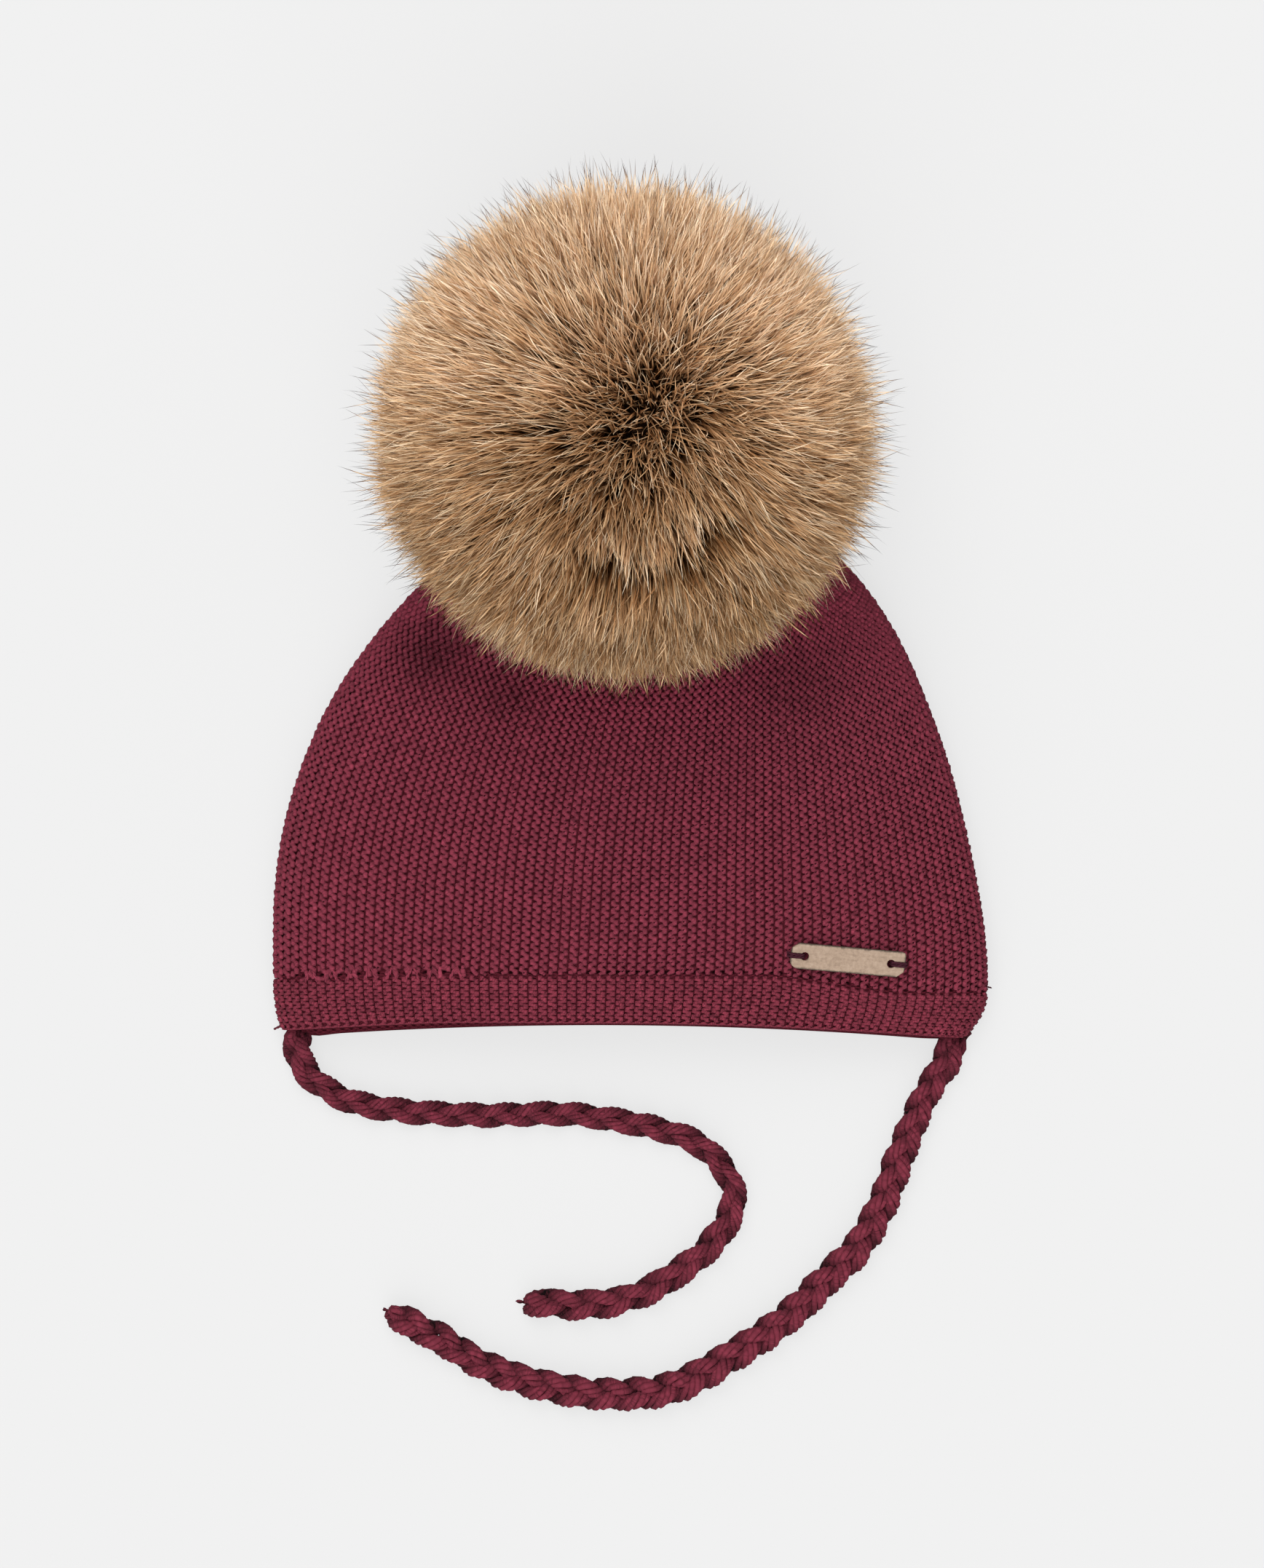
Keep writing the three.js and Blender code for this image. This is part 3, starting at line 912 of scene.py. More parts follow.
def crown_ring(y, inset, low):
    """A ring of the wall. Its lower rings bend to follow the seam."""
    follow = smoothstep(y, -60, SEAM_Y)
    real_y = y + (seam_y(section_x(RING_A, crown_half(y))) - SEAM_Y) * follow
    half = np.maximum(crown_half(real_y) - inset, 1.0)
    high = np.maximum(crown_height(real_y) - inset, low + 0.6)
    drift = WALE_DRIFT * np.maximum(real_y - WIDEST_Y, 0)
    return dented(section_point(RING_A, real_y, half, high, along(real_y, MID), low=low, skew=drift))


outer_ys = np.concatenate([np.linspace(CLOTH_BOTTOM, 30, 44), [34, 37, 39, 39.8]])
inner_ys = np.linspace(35, CLOTH_BOTTOM, 26)
rings = [crown_ring(y, CLOTH_SINK, CLOTH_LOW) for y in outer_ys]
rings += [crown_ring(y, KNIT_WALL, KNIT_WALL) for y in inner_ys]
crown_cloth = wall_piece("crown_cloth", np.array(rings), np.concatenate([outer_ys, inner_ys]) / COURSE)
make_faces_point_out(crown_cloth)
finish_piece(crown_cloth, knit_cloth, "knit", "crown")

# %% Hem body
HEM_SINK = 1.15
LIP_REACH = 1.2
HEM_CLOTH_COURSE = 1.25


def hem_ring(t, inset, low):
    """A ring of the hem. At the back it reaches down to a lip below the front's edge."""
    half = hem_half(t) - inset
    x = section_x(RING_A, half)
    back = smoothstep(np.abs(RING_A), 1.0, FOLD_END + 0.05)
    lip = hem_y(x) - 0.3 - LIP_REACH * smoothstep(-x, 79, 88)
    edge = front_hem_y(x) + (lip - front_hem_y(x)) * back
    y = seam_y(x) + (edge - seam_y(x)) * t
    return corner_cut(section_point(RING_A, y, half, along(y, HEIGHT) - inset, along(y, MID), low=low), t)


profile = [(t, HEM_SINK, CLOTH_LOW) for t in np.linspace(0.0, 0.95, 14)]
profile += [(0.985, HEM_SINK + 0.35, 0.5), (1.0, HEM_SINK + 1.2, 1.3)]
profile += [(t, HEM_WALL - rounding, HEM_WALL - rounding) for t, rounding in ((1.0, 1.4), (0.985, 0.4))]
profile += [(t, HEM_WALL, HEM_WALL) for t in np.linspace(0.94, 0.0, 8)]
rings = np.array([hem_ring(*row) for row in profile])
hem_body = wall_piece("hem_body", rings, distances(rings[:, RING_COLUMNS // 2]) / HEM_CLOTH_COURSE)
make_faces_point_out(hem_body)
finish_piece(hem_body, hem_cloth, "knit", "band")

# %% [markdown]
# ## Pom-pom
#
# The pom-pom is a ball of real-looking fur: dense wavy underfur, and longer guard hairs with pale
# bands and dark tips. Particle hair isn't a mesh, so each hair is a tapered ribbon that leaves a
# brown core and bends with its neighbours. Hairs come in small locks whose tips lean together, which
# gives the broken, soft surface. A ribbon has five to nine triangles, so tens of thousands fit.
# In the picture hair points at the viewer near the middle, and a parting runs below it.

# %% Fur materials
FUR_STRETCH = (300, 4, 1)
CLUMP_HEIGHT = 0.002


def fur_group():
    tree, given, out = group(
        "fur_strands",
        [("Map", VECTOR, None), ("Along colour", COLOUR, (0.4, 0.3, 0.2, 1)), ("Spread", FLOAT, 0.9)],
        [("Colour", COLOUR)],
    )
    streaks = noise(tree, scaled(tree, given.outputs["Map"], FUR_STRETCH), 1.0, 2.0, 0.5)
    paler = minus(tree, split(tree, given.outputs["Map"])[0], 0.5)
    tone = times(tree, paler, given.outputs["Spread"])
    streak = times(tree, minus(tree, streaks, 0.5), 0.5)
    lightness = plus(tree, plus(tree, tone, streak), 1.0)
    warmer = added(tree, "ShaderNodeGamma", "Color",
                   {"Color": given.outputs["Along colour"], "Gamma": minus(tree, 1.0, paler)})
    tree.links.new(multiplied(tree, warmer, lightness), out.inputs["Colour"])
    return tree


def fur_material(name, stops, spread):
    """stops are the colours from a hair's root to its tip."""
    made, tree, shader = material(name, 0.5, Specular_IOR_Level=0.05)
    strands = placed_group(tree, fur_strands, Spread=spread)
    hair_map = own_map(tree, STRAND_MAP)
    tree.links.new(hair_map, strands.inputs["Map"])
    tree.links.new(ramp(tree, split(tree, hair_map)[1], stops), strands.inputs["Along colour"])
    tree.links.new(strands.outputs["Colour"], shader.inputs["Base Color"])
    return made


def core_material():
    made, tree, shader = material("fur_core", 0.9, Specular_IOR_Level=0.1)
    clumps = noise(tree, tree.nodes.new("ShaderNodeTexCoord").outputs["Object"], 260.0, 4.0, 0.7)
    browns = ((0.3, (0.012, 0.006, 0.003)), (0.7, (0.10, 0.05, 0.028)))
    tree.links.new(ramp(tree, clumps, browns), shader.inputs["Base Color"])
    bump(tree, shader, clumps, CLUMP_HEIGHT)
    return made


fur_strands = fur_group()
# Near-black roots are partly the hairs' own dark base and partly painted shade for the depth of the coat.
underfur = fur_material("underfur", (
    (0.0, (0.012, 0.004, 0.0015)), (0.46, (0.11, 0.046, 0.017)), (0.66, (0.56, 0.315, 0.155)),
    (0.86, (0.82, 0.54, 0.31)), (1.0, (0.90, 0.63, 0.39)),
), 1.0)
guard_fur = fur_material("guard_fur", (
    (0.0, (0.012, 0.004, 0.0015)), (0.50, (0.13, 0.06, 0.022)), (0.66, (0.60, 0.36, 0.19)),
    (0.82, (0.92, 0.68, 0.44)), (0.88, (0.20, 0.10, 0.05)), (0.94, (0.03, 0.012, 0.006)),
), 0.8)
pale_fur = fur_material("pale_fur", (
    (0.0, (0.02, 0.007, 0.003)), (0.50, (0.20, 0.10, 0.042)), (0.70, (0.78, 0.54, 0.32)),
    (1.0, (1.0, 0.86, 0.66)),
), 0.8)

# %% Core of the pom-pom
CORE_SHARE = 0.58
CORE_PROUD, CORE_LUMP = 0.02, 0.03
FUR_PROUD = 4.0
FUR_CENTRE = np.array([POMPOM["x"], POMPOM["y"], POMPOM["z"]])
# The ball's sides stand a little proud of the CAD solid, as fur does.
FUR_SIDE = POMPOM["radius"] + FUR_PROUD
FUR_RADII = np.array([FUR_SIDE, FUR_SIDE, POMPOM["half_height"]])

bpy.ops.mesh.primitive_ico_sphere_add(subdivisions=5, radius=1.0, location=(0, 0, 0))
core = bpy.context.object
core.name = "pompom_core"
core_points = np.empty(len(core.data.vertices) * 3)
core.data.vertices.foreach_get("co", core_points)
core_points = core_points.reshape(-1, 3)
lumps = np.sin(core_points @ np.array([[9, 4, 2], [3, 8, 5], [5, 2, 9]]).T).prod(1)
core_reach = (CORE_SHARE + CORE_PROUD + CORE_LUMP * lumps)[:, None]
core.data.vertices.foreach_set("co", ((FUR_CENTRE + core_points * FUR_RADII * core_reach) * MM).ravel())
bpy.ops.object.shade_smooth()
core.select_set(False)
finish_piece(core, core_material(), "fur", "pompom")

# %% [markdown]
# The hair's lie is a handful of formulas of the root's direction on the ball: which way it leans,
# how far it reaches, how much of it is left out and how pale it is; the paleness also holds painted
# light and shade. The parting is an arc round a middle. Past it, on the low side, lies a dark
# trough, which tufts bridge here and there.


# %% How the fur lies
WHORL_LEAN = np.array([-0.044, -0.048, 0.0])
COMB = np.array([0.24, 0.24, 0.0])
SWIRL = 0.035
PARTING = {"x": 1.0, "y": 36.5, "radius": 25.5, "from": -131.0, "to": -2.0, "fade": 25.0}
FUR_REACH = 69.5


def parting_place(root):
    """Distance past the parting's arc and how much of the parting is there, seen from above."""
    off = FUR_CENTRE[:2] + FUR_REACH * root[:, :2] - np.array([PARTING["x"], PARTING["y"]])
    angle = np.degrees(np.arctan2(off[:, 1], off[:, 0]))
    wander = 1.3 * np.sin(angle / 6.0) + 0.8 * np.sin(angle / 2.7 + 1.0)
    past = np.linalg.norm(off, axis=1) - PARTING["radius"] + wander
    there = hill(angle, PARTING["from"], PARTING["from"] + PARTING["fade"],
                 PARTING["to"] - PARTING["fade"], PARTING["to"])
    return past, there * smoothstep(root[:, 2], 0.1, 0.4), unit(np.column_stack([off, 0 * past]))


def open_parting(root):
    """As parting_place, where tufts bridge the parting, so that it is a row of dark gaps."""
    past, there, _ = parting_place(root)
    return past, there * (0.82 + 0.18 * np.sin(11.0 * np.arctan2(root[:, 1], root[:, 0])))


def lean(root):
    """Sideways lean of the hair at each root direction."""
    x, y, z = root.T
    swirl = np.stack([np.sin(5.1 * y + 3.3 * z + 1.0), np.sin(4.3 * x - 3.7 * z),
                      np.sin(4.7 * x + 2.9 * y + 2.0)], 1)
    past, there, outward = parting_place(root)
    away = there * (0.12 * hill(past, 0, 1, 4, 16) - 0.10 * hill(past, -14, -1, 0, 1))
    top = smoothstep(z, 0.1, 0.9)[:, None]
    return top * (WHORL_LEAN + COMB * root) + SWIRL * swirl + away[:, None] * outward


def reach_share(root):
    """How far out the hair reaches at each root direction: tufts and the trough at the parting."""
    x, y, z = root.T
    past, there = open_parting(root)
    trough = there * hill(past, 0, 1, 2.5, 8)
    over = there * hill(past, -10, -2, 0, 1)
    waves = np.sin(6.1 * x + 1.3) * np.sin(5.3 * y + 2.1) * np.sin(4.9 * z)
    low = fade(y, -0.95, -0.35)
    return 1 - 0.27 * trough + 0.05 * over + (0.012 + 0.02 * low) * waves - 0.03 * low


def thinned(root):
    """Share of the hair left out, which opens dark gaps in the parting and the middle."""
    past, there = open_parting(root)
    return 0.95 * there * hill(past, 0, 1, 2, 5) + 0.15 * smoothstep(root[:, 2], 0.95, 0.995)


def fur_tone_and_painted_light(root):
    """Tone of each hair by its root. It is paler towards the top and the upper rim, partly as painted light
    from above, and painted shade darkens the parting's trough and the hairs low at the silhouette and
    underneath. It is also a little paler towards the right and along the flap above the parting.
    """
    x, y, z = root.T
    past, there = open_parting(root)
    dark = there * hill(past, 0, 1, 1.5, 5)
    edge = parting_place(root)[1] * hill(past, -9, -2, -0.5, 1)
    upper = smoothstep(y, -0.7, 0.6) * (0.39 + 0.12 * (1 - np.maximum(z, 0)))
    under = fade(z, -0.1, 0.35)
    return 0.09 + upper + 0.06 * smoothstep(x, 0.1, 0.9) - 0.5 * dark + 0.3 * edge - 0.12 * under


# %% Hair lines
LOWEST_ROOT = -0.72
LOCK_SCATTER = 0.55
LOCK_LEAN, LOW_LOCK_LEAN = 0.04, 0.025
LOCK_REACH = 0.018
MIDDLE_BEND = 32.0
FLOOR_GAP = 0.6


def even_directions(count, random):
    """Evenly spread directions on a ball, down to the lowest roots."""
    index = np.arange(count) + 0.5
    z = 1 - index / count * (1 - LOWEST_ROOT)
    angle = index * math.pi * (3 - math.sqrt(5))
    flat = np.sqrt(1 - z**2)
    spread = math.sqrt(4 * math.pi / count) * 0.35
    directions = np.stack([flat * np.cos(angle), flat * np.sin(angle), z], 1)
    return unit(directions + random.normal(0, spread, directions.shape))


def hair_lines(layer, random):
    """The curve of each hair from core to tip, with its root direction and its lock's number."""
    locks, bend = layer["locks"], layer["bend"]
    lock = even_directions(locks, random)
    lock_of = np.repeat(np.arange(locks), layer["hairs"])
    spacing = math.sqrt(2 * math.pi * (1 - LOWEST_ROOT) / locks)
    scatter = random.normal(0, LOCK_SCATTER * spacing, (len(lock_of), 3))
    root = unit(lock[lock_of] + scatter)
    kept = random.uniform(0, 1, len(root)) > thinned(root)
    lock_of, scatter, root = lock_of[kept], scatter[kept], root[kept]
    count = len(root)
    lock_lean = LOCK_LEAN + LOW_LOCK_LEAN * smoothstep(-root[:, 1:2], 0.2, 0.8)
    lock_lean = random.normal(0, 1, (locks, 3))[lock_of] * lock_lean
    loose = (1 - layer["gather"]) * (1 - 0.5 * smoothstep(root[:, 2:], 0.9, 0.99))
    past, there, _ = parting_place(root)
    calm = 1 - 0.65 * (there * (np.abs(past) < 9))[:, None]
    tip_way = unit(lock[lock_of] + loose * scatter + lean(root)
                   + calm * (lock_lean + random.normal(0, bend, (count, 3))))
    lock_reach = random.normal(1, LOCK_REACH, locks)[lock_of]
    share = random.uniform(*layer["reach"], count) * lock_reach * reach_share(root)
    start = FUR_CENTRE + root * FUR_RADII * CORE_SHARE
    tip = FUR_CENTRE + tip_way * FUR_RADII * share[:, None]
    middle = start + (root * 0.75 + tip_way * 0.25) * np.linalg.norm(tip - start, axis=1)[:, None] * 0.55
    middle += random.normal(0, MIDDLE_BEND * bend, (count, 3))
    t = np.linspace(0, 1, layer["segments"] + 1)[None, :, None]
    line = (1 - t) ** 2 * start[:, None] + 2 * t * (1 - t) * middle[:, None] + t**2 * tip[:, None]
    line[..., 2] = np.maximum(line[..., 2], FLOOR_GAP)
    return line, unit(tip - start), root, lock_of


# %% Hair ribbons
TAPER = np.array([0.8, 1.0, 1.0, 0.9, 0.65])
LOCK_TONE, LOW_LOCK_TONE, HAIR_TONE = 0.09, 0.05, 0.10


def repeated(faces, stride, count):
    """The same faces for each of many equal strands."""
    offsets = np.arange(count)[:, None, None] * stride
    return (np.asarray(faces)[None] + offsets).reshape(-1, np.asarray(faces).shape[-1])


def hair_piece(layer, random):
    """A layer of fur as one mesh of ribbons, each ending in a point."""
    line, chord, root, lock_of = hair_lines(layer, random)
    count, segments = len(root), layer["segments"]
    across = unit(np.cross(chord, random.normal(0, 1, (count, 3))))[:, None]
    taper = TAPER[np.linspace(0, 4, segments + 1).astype(int)][:-1]
    half = 0.5 * layer["width"] * random.uniform(0.7, 1.3, (count, 1, 1)) * taper[None, :, None]
    sides = np.stack([line[:, :-1] - across * half, line[:, :-1] + across * half], 2)
    points = np.concatenate([sides.reshape(count, -1, 3), line[:, -1:]], 1)
    stride = 2 * segments + 1
    quads = repeated(2 * np.arange(segments - 1)[:, None] + np.array([0, 1, 3, 2]), stride, count)
    tips = repeated(np.array([[stride - 3, stride - 2, stride - 1]]), stride, count)
    uneven = LOCK_TONE + LOW_LOCK_TONE * smoothstep(-root[:, 1], 0.1, 0.7)
    lock_tone = random.normal(0, 1, layer["locks"])[lock_of] * uneven
    u = np.clip(fur_tone_and_painted_light(root) + lock_tone + random.normal(0, HAIR_TONE, count), 0.01, 0.99)
    v = np.concatenate([np.repeat(np.linspace(0, 1, segments + 1)[:-1], 2), [1.0]])
    uv = np.stack([np.repeat(u, stride), np.tile(v, count)], 1)
    return mesh_piece(layer["name"], points.reshape(-1, 3), [quads, tips], uv)


# %% Fur
FUR = (
    # reach is the least and the most of the ball's radius, and gather pulls a lock's tips together.
    {"name": "underfur_inner", "locks": 1500, "hairs": 11, "segments": 3, "width": 0.60,
     "reach": (0.80, 0.92), "gather": 0.40, "bend": 0.05, "finish": underfur},
    {"name": "underfur_outer", "locks": 2200, "hairs": 17, "segments": 3, "width": 0.40,
     "reach": (0.90, 0.985), "gather": 0.74, "bend": 0.035, "finish": underfur},
    {"name": "pale_hairs", "locks": 2600, "hairs": 5, "segments": 5, "width": 0.24,
     "reach": (0.93, 1.005), "gather": 0.55, "bend": 0.05, "finish": pale_fur},
    {"name": "guard_hairs", "locks": 2900, "hairs": 2, "segments": 4, "width": 0.32,
     "reach": (0.96, 1.07), "gather": 0.5, "bend": 0.055, "finish": guard_fur},
)
for seed, layer in enumerate(FUR, start=40):
    finish_piece(hair_piece(layer, np.random.default_rng(seed)), layer["finish"], "fur", "pompom")

# %% [markdown]
# ## Wooden tag
#
# The tag is a slip of pale wood, cut by a hot beam, so its edges are scorched. Near each end a round
# hole runs out through a slot, where yarn stitches hold it to the hat. A flat curve is the quickest
# way to such an outline: it is drawn with its slots, given a thickness and a small bevel, and made a
# mesh. It lies on the plane that touches the domed crown, as the CAD tag does.

# %% Tag
TAG = {"x": 58.9, "y": -92.1, "length": 31.6, "width": 7.0, "thickness": 1.5}
TAG_TURN = math.radians(-5.2)
TAG_HOLE_INSET, TAG_HOLE_RADIUS, TAG_SLOT = 3.9, 1.15, 1.4
TAG_HOLE = TAG["length"] / 2 - TAG_HOLE_INSET
TAG_GAP = 0.4
TAG_BEVEL = 0.16
ROUND_CORNER, SMALL_CORNER = 2.3, 1.1
CUT_ALONG, CUT_IN, CUT_DOWN, CUT_UP = 2.2, 0.3, 1.5, 1.4


def tag_plane():
    """Matrix of the plane that touches the crown under the tag, in metres."""
    ahead = np.array([math.cos(TAG_TURN), math.sin(TAG_TURN), 0]) * TAG["length"] / 2
    across = np.array([-math.sin(TAG_TURN), math.cos(TAG_TURN), 0]) * TAG["width"] / 2

    def height(u, v):
        place = np.array([TAG["x"], TAG["y"]]) + u * ahead[:2] + v * across[:2]
        return float(front_height(place[0], place[1]))

    ahead[2] = (height(1, 0) - height(-1, 0)) / 2
    across[2] = (height(0, 1) - height(0, -1)) / 2
    level = max(height(u, v) - u * ahead[2] - v * across[2]
                for u in np.arange(-1, 1.01, 0.25) for v in np.arange(-1, 1.01, 0.5))
    x_axis = unit(ahead)
    z_axis = unit(np.cross(x_axis, across))
    turn = Matrix(np.stack([x_axis, np.cross(z_axis, x_axis), z_axis], 1).tolist()).to_4x4()
    return Matrix.Translation(Vector((TAG["x"], TAG["y"], level + TAG_GAP)) * MM) @ turn


def arc(x, y, radius, first, last, count):
    return [(x + radius * math.cos(t), y + radius * math.sin(t)) for t in np.linspace(first, last, count)]


def tag_outline():
    """Corner points, anticlockwise, with two round and two cut corners and a slot at each end."""
    half, side, slot = TAG["length"] / 2, TAG["width"] / 2, TAG_SLOT / 2
    mouth = math.asin(slot / TAG_HOLE_RADIUS)
    right = arc(TAG_HOLE, 0, TAG_HOLE_RADIUS, -mouth, -2 * math.pi + mouth, 15)
    left = arc(-TAG_HOLE, 0, TAG_HOLE_RADIUS, math.pi - mouth, -math.pi + mouth, 15)
    points = arc(-half + ROUND_CORNER, -side + ROUND_CORNER, ROUND_CORNER, math.pi, 1.5 * math.pi, 6)
    points += [(half - CUT_ALONG, -side), (half - CUT_IN, -side + CUT_DOWN)]
    points += [(half, -slot)] + right + [(half, slot)]
    points += arc(half - SMALL_CORNER, side - SMALL_CORNER, SMALL_CORNER, 0, math.pi / 2, 5)
    points += [(-half + CUT_ALONG, side), (-half + CUT_IN, side - CUT_UP)]
    return points + [(-half, slot)] + left + [(-half, -slot)]


flat = bpy.data.curves.new("tag", "CURVE")
flat.dimensions = "2D"
flat.fill_mode = "BOTH"
flat.bevel_depth = TAG_BEVEL * MM
flat.bevel_resolution = 1
flat.offset = -TAG_BEVEL * MM
flat.extrude = (TAG["thickness"] / 2 - TAG_BEVEL) * MM
line = flat.splines.new("POLY")
outline = tag_outline()
line.points.add(len(outline) - 1)
for point, (x, y) in zip(line.points, outline):
    point.co = (x * MM, y * MM, 0, 1)
line.use_cyclic_u = True
tag = bpy.data.objects.new("tag", flat)
bpy.context.collection.objects.link(tag)
bpy.context.view_layer.objects.active = tag
tag.select_set(True)
bpy.ops.object.convert(target="MESH")
tag = bpy.context.object
tag.select_set(False)
tag_matrix = tag_plane()
tag.data.transform(tag_matrix @ Matrix.Translation((0, 0, TAG["thickness"] / 2 * MM)))

# %% Wood
SCORCH_FROM, SCORCH_TO = 0.00016, 0.00055
SCORCH_RAGGED = 0.0006
GRAIN_HEIGHT = 0.00008
WOOD_STOPS = (
    (0.32, (0.225, 0.158, 0.11)), (0.5, (0.31, 0.222, 0.158)), (0.68, (0.385, 0.288, 0.214)),
)


def wood_material():
    """Grain along the tag, and a scorched rim measured in from its edges."""
    made, tree, shader = material("birch", 0.6, Specular_IOR_Level=0.3)
    place = tree.nodes.new("ShaderNodeTexCoord").outputs["Object"]
    turn = {"Vector": place, "Location": tag_matrix.translation, "Rotation": tag_matrix.to_euler()}
    own = added(tree, "ShaderNodeMapping", "Vector", turn, vector_type="TEXTURE")
    grain = noise(tree, scaled(tree, own, (260, 1400, 260)), 1.0, 4.0, 0.6)
    mottle = noise(tree, own, 1100.0, 4.0, 0.65)
    wood = ramp(tree, plus(tree, times(tree, grain, 0.35), times(tree, mottle, 0.65)), WOOD_STOPS)
    to_edge = [minus(tree, size / 2 * MM, math_node(tree, "ABSOLUTE", way))
               for size, way in zip((TAG["length"], TAG["width"]), split(tree, own))]
    nearest = math_node(tree, "MINIMUM", *to_edge)
    ragged = plus(tree, nearest, times(tree, minus(tree, mottle, 0.5), SCORCH_RAGGED))
    scorch = remap(tree, ragged, SCORCH_FROM, SCORCH_TO, 0.28, 1.0)
    tree.links.new(multiplied(tree, wood, scorch), shader.inputs["Base Color"])
    bump(tree, shader, grain, GRAIN_HEIGHT)
    return made


finish_piece(tag, wood_material(), "wood", "wood_tag")

# %% [markdown]
# ## Yarn through the tag, and loose ends
#
# Two turns of dark plum yarn run from each hole over the tag's short end and into the knit. Loose
# ends of the knitting yarn show at the ties' ends, at the hem's left corner and at its right fold,
# and short yarns cross between the small holes of the seam. Each is a thin twisted yarn along a
# short path.


# %% Thread helpers
THREAD_SIDES = 4


def thread(points, radius, seed, step=0.45):
    """Two plies twisted along a spline, as a list of tubes."""
    random = np.random.default_rng(seed)
    path, run = spline(points, step)
    thick = radius * 0.62 * np.ones(len(path))
    thick[[0, -1]] *= 0.55
    plies = []
    for each in range(2):
        winding = helix(path, np.full(len(path), radius * 0.5), run / (radius * 7) + each / 2)
        plies.append(ply(winding, thick, THREAD_SIDES, random.uniform(0.1, 0.9), run))
    return plies


def threads_piece(name, routes, seed):
    """Joins threads into one piece. routes are (points, radius) pairs."""
    plies = [each for k, (points, radius) in enumerate(routes)
             for each in thread(points, radius, seed + k)]
    return tubes_piece(name, plies, THREAD_SIDES)


# %% Stitches of the tag
STITCH_RADIUS = 0.36
STITCH_APART = 0.34
STITCH_ROUTE = (
    # from, past it, share of the distance apart, height over the tag's face
    (TAG_HOLE, 0.1, 0.8, -1.9), (TAG_HOLE, 0.3, 1, -0.8), (TAG_HOLE, 1.0, 1, 0.1),
    (TAG["length"] / 2, -1.2, 1, 0.3), (TAG["length"] / 2, -0.1, 1, 0.1),
    (TAG["length"] / 2, 0.45, 1.2, -1.2), (TAG["length"] / 2, 0.5, 1.2, -3.2),
)


def on_tag(u, v, height):
    """A place over the tag's face, in millimetres."""
    place = tag_matrix @ Vector((u * MM, v * MM, (TAG["thickness"] + height) * MM))
    return tuple(value / MM for value in place)


stitches = []
for end in (-1, 1):
    for seed, v in ((60, -STITCH_APART), (61, STITCH_APART)):
        route = [on_tag(end * (start + past), v * share, height)
                 for start, past, share, height in STITCH_ROUTE]
        stitches += thread(route, STITCH_RADIUS, seed, step=0.3)
finish_piece(tubes_piece("tag_stitches", stitches, THREAD_SIDES), plum_yarn, "knit")

# %% Loose ends
LOOSE_ENDS = (
    (((-27.0, -186.6, 3.2), (-29.6, -186.5, 3.0), (-31.4, -186.3, 2.4)), 0.5),
    (((-64.6, -189.6, 3.2), (-66.4, -189.0, 3.0), (-67.9, -188.4, 2.5)), 0.5),
    (((-94.4, -110.4, 4.4), (-96.4, -111.0, 4.0), (-97.8, -111.7, 3.4)), 0.34),
    (((95.6, -99.6, 9.5), (97.6, -99.9, 8.6), (98.8, -100.2, 7.6)), 0.25),
)
finish_piece(threads_piece("loose_ends", LOOSE_ENDS, 80), tie_yarn, "knit")

# %% Yarns between the seam's holes
CROSSING_RADIUS = 0.42
CROSSINGS = ((0.38, 0.9), (0.66, -0.8))
CROSSING_LIFTS = ((-1.2, -1.4), (-0.5, -0.45), (0.5, -0.45), (1.2, -1.4))


def crossing_yarns():
    """Two short crossing yarns between each two holes, where the knit is pulled into lumps."""
    random = np.random.default_rng(31)
    routes = []
    for x, after in zip(EYELETS_X, EYELETS_X[1:]):
        for share, tilt in CROSSINGS:
            middle = x + (after - x) * share + random.normal(0, 0.2)
            y = seam_y(middle) + random.normal(0.3, 0.2)
            level = front_height(middle, y)
            points = [(middle + tilt * way, y + 1.9 * way, level + lift) for way, lift in CROSSING_LIFTS]
            routes.append((points, CROSSING_RADIUS))
    return routes


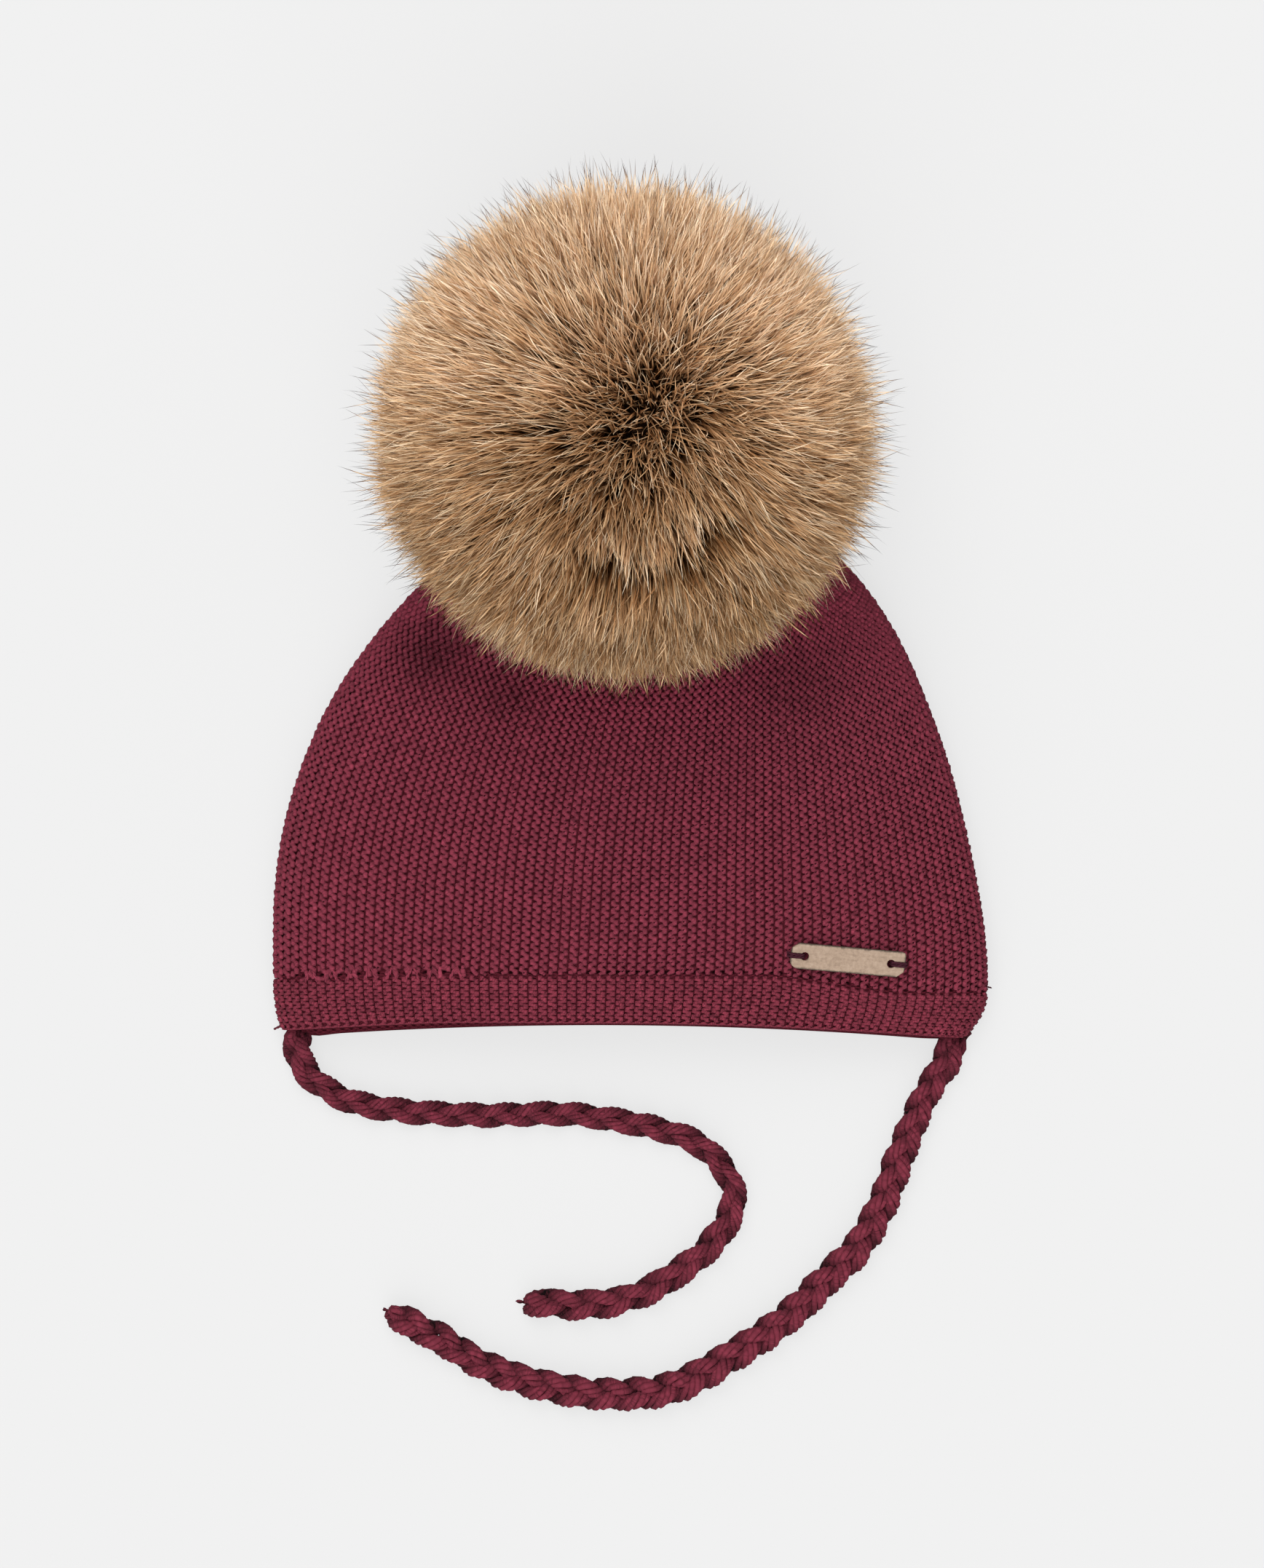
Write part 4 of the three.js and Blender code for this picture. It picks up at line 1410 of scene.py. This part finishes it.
finish_piece(threads_piece("eyelet_yarns", crossing_yarns(), 90), knit_yarn, "knit")

# %% [markdown]
# ## Floor and light
#
# A pale studio floor under soft light from above and from both ends of the hat. Product pictures
# have very light shadows, so the floor gives some light of its own, which evens it out, and takes
# only part of the shadow.

# %% Floor
FLOOR_GREY = 0.13
FLOOR_GLOW = 0.68
FLOOR_GLOW_ON_OBJECT = 0.12

bpy.ops.mesh.primitive_plane_add(size=6.0, location=(0, 0, 0))
floor = bpy.context.object
floor.name = "floor"
floor.select_set(False)
floor_paint, floor_tree, floor_shader = material(
    "floor_paint", 0.9, Specular_IOR_Level=0.0, Base_Color=(FLOOR_GREY, FLOOR_GREY, FLOOR_GREY, 1),
    Emission_Color=(1, 1, 1, 1),
)
seen = floor_tree.nodes.new("ShaderNodeLightPath").outputs["Is Camera Ray"]
floor_tree.links.new(remap(floor_tree, seen, 0, 1, FLOOR_GLOW_ON_OBJECT, FLOOR_GLOW),
                     floor_shader.inputs["Emission Strength"])
floor.data.materials.append(floor_paint)

# %% Light
SKY_STRENGTH = 0.42

bpy.context.scene.view_settings.view_transform = "Standard"
world = bpy.data.worlds.new("studio")
world.use_nodes = True
world.node_tree.nodes["Background"].inputs["Color"].default_value = (1, 1, 1, 1)
world.node_tree.nodes["Background"].inputs["Strength"].default_value = SKY_STRENGTH
bpy.context.scene.world = world


def soft_light(name, azimuth, elevation, spread, strength):
    """A distant soft light. azimuth 0 comes from the picture's bottom, 90 from its right."""
    turn, climb = math.radians(azimuth), math.radians(elevation)
    towards = Vector((math.sin(turn) * math.cos(climb), -math.cos(turn) * math.cos(climb), math.sin(climb)))
    bpy.ops.object.light_add(type="SUN", location=towards)
    light = bpy.context.object
    light.name = name
    light.data.energy = strength
    light.data.angle = math.radians(spread)
    light.rotation_euler = towards.to_track_quat("Z", "Y").to_euler()
    light.select_set(False)
    print("light", name, strength)


soft_light("key", -160, 50, 45, 1.15)
soft_light("overhead", -170, 78, 55, 1.4)
soft_light("front_fill", -8, 42, 70, 1.9)
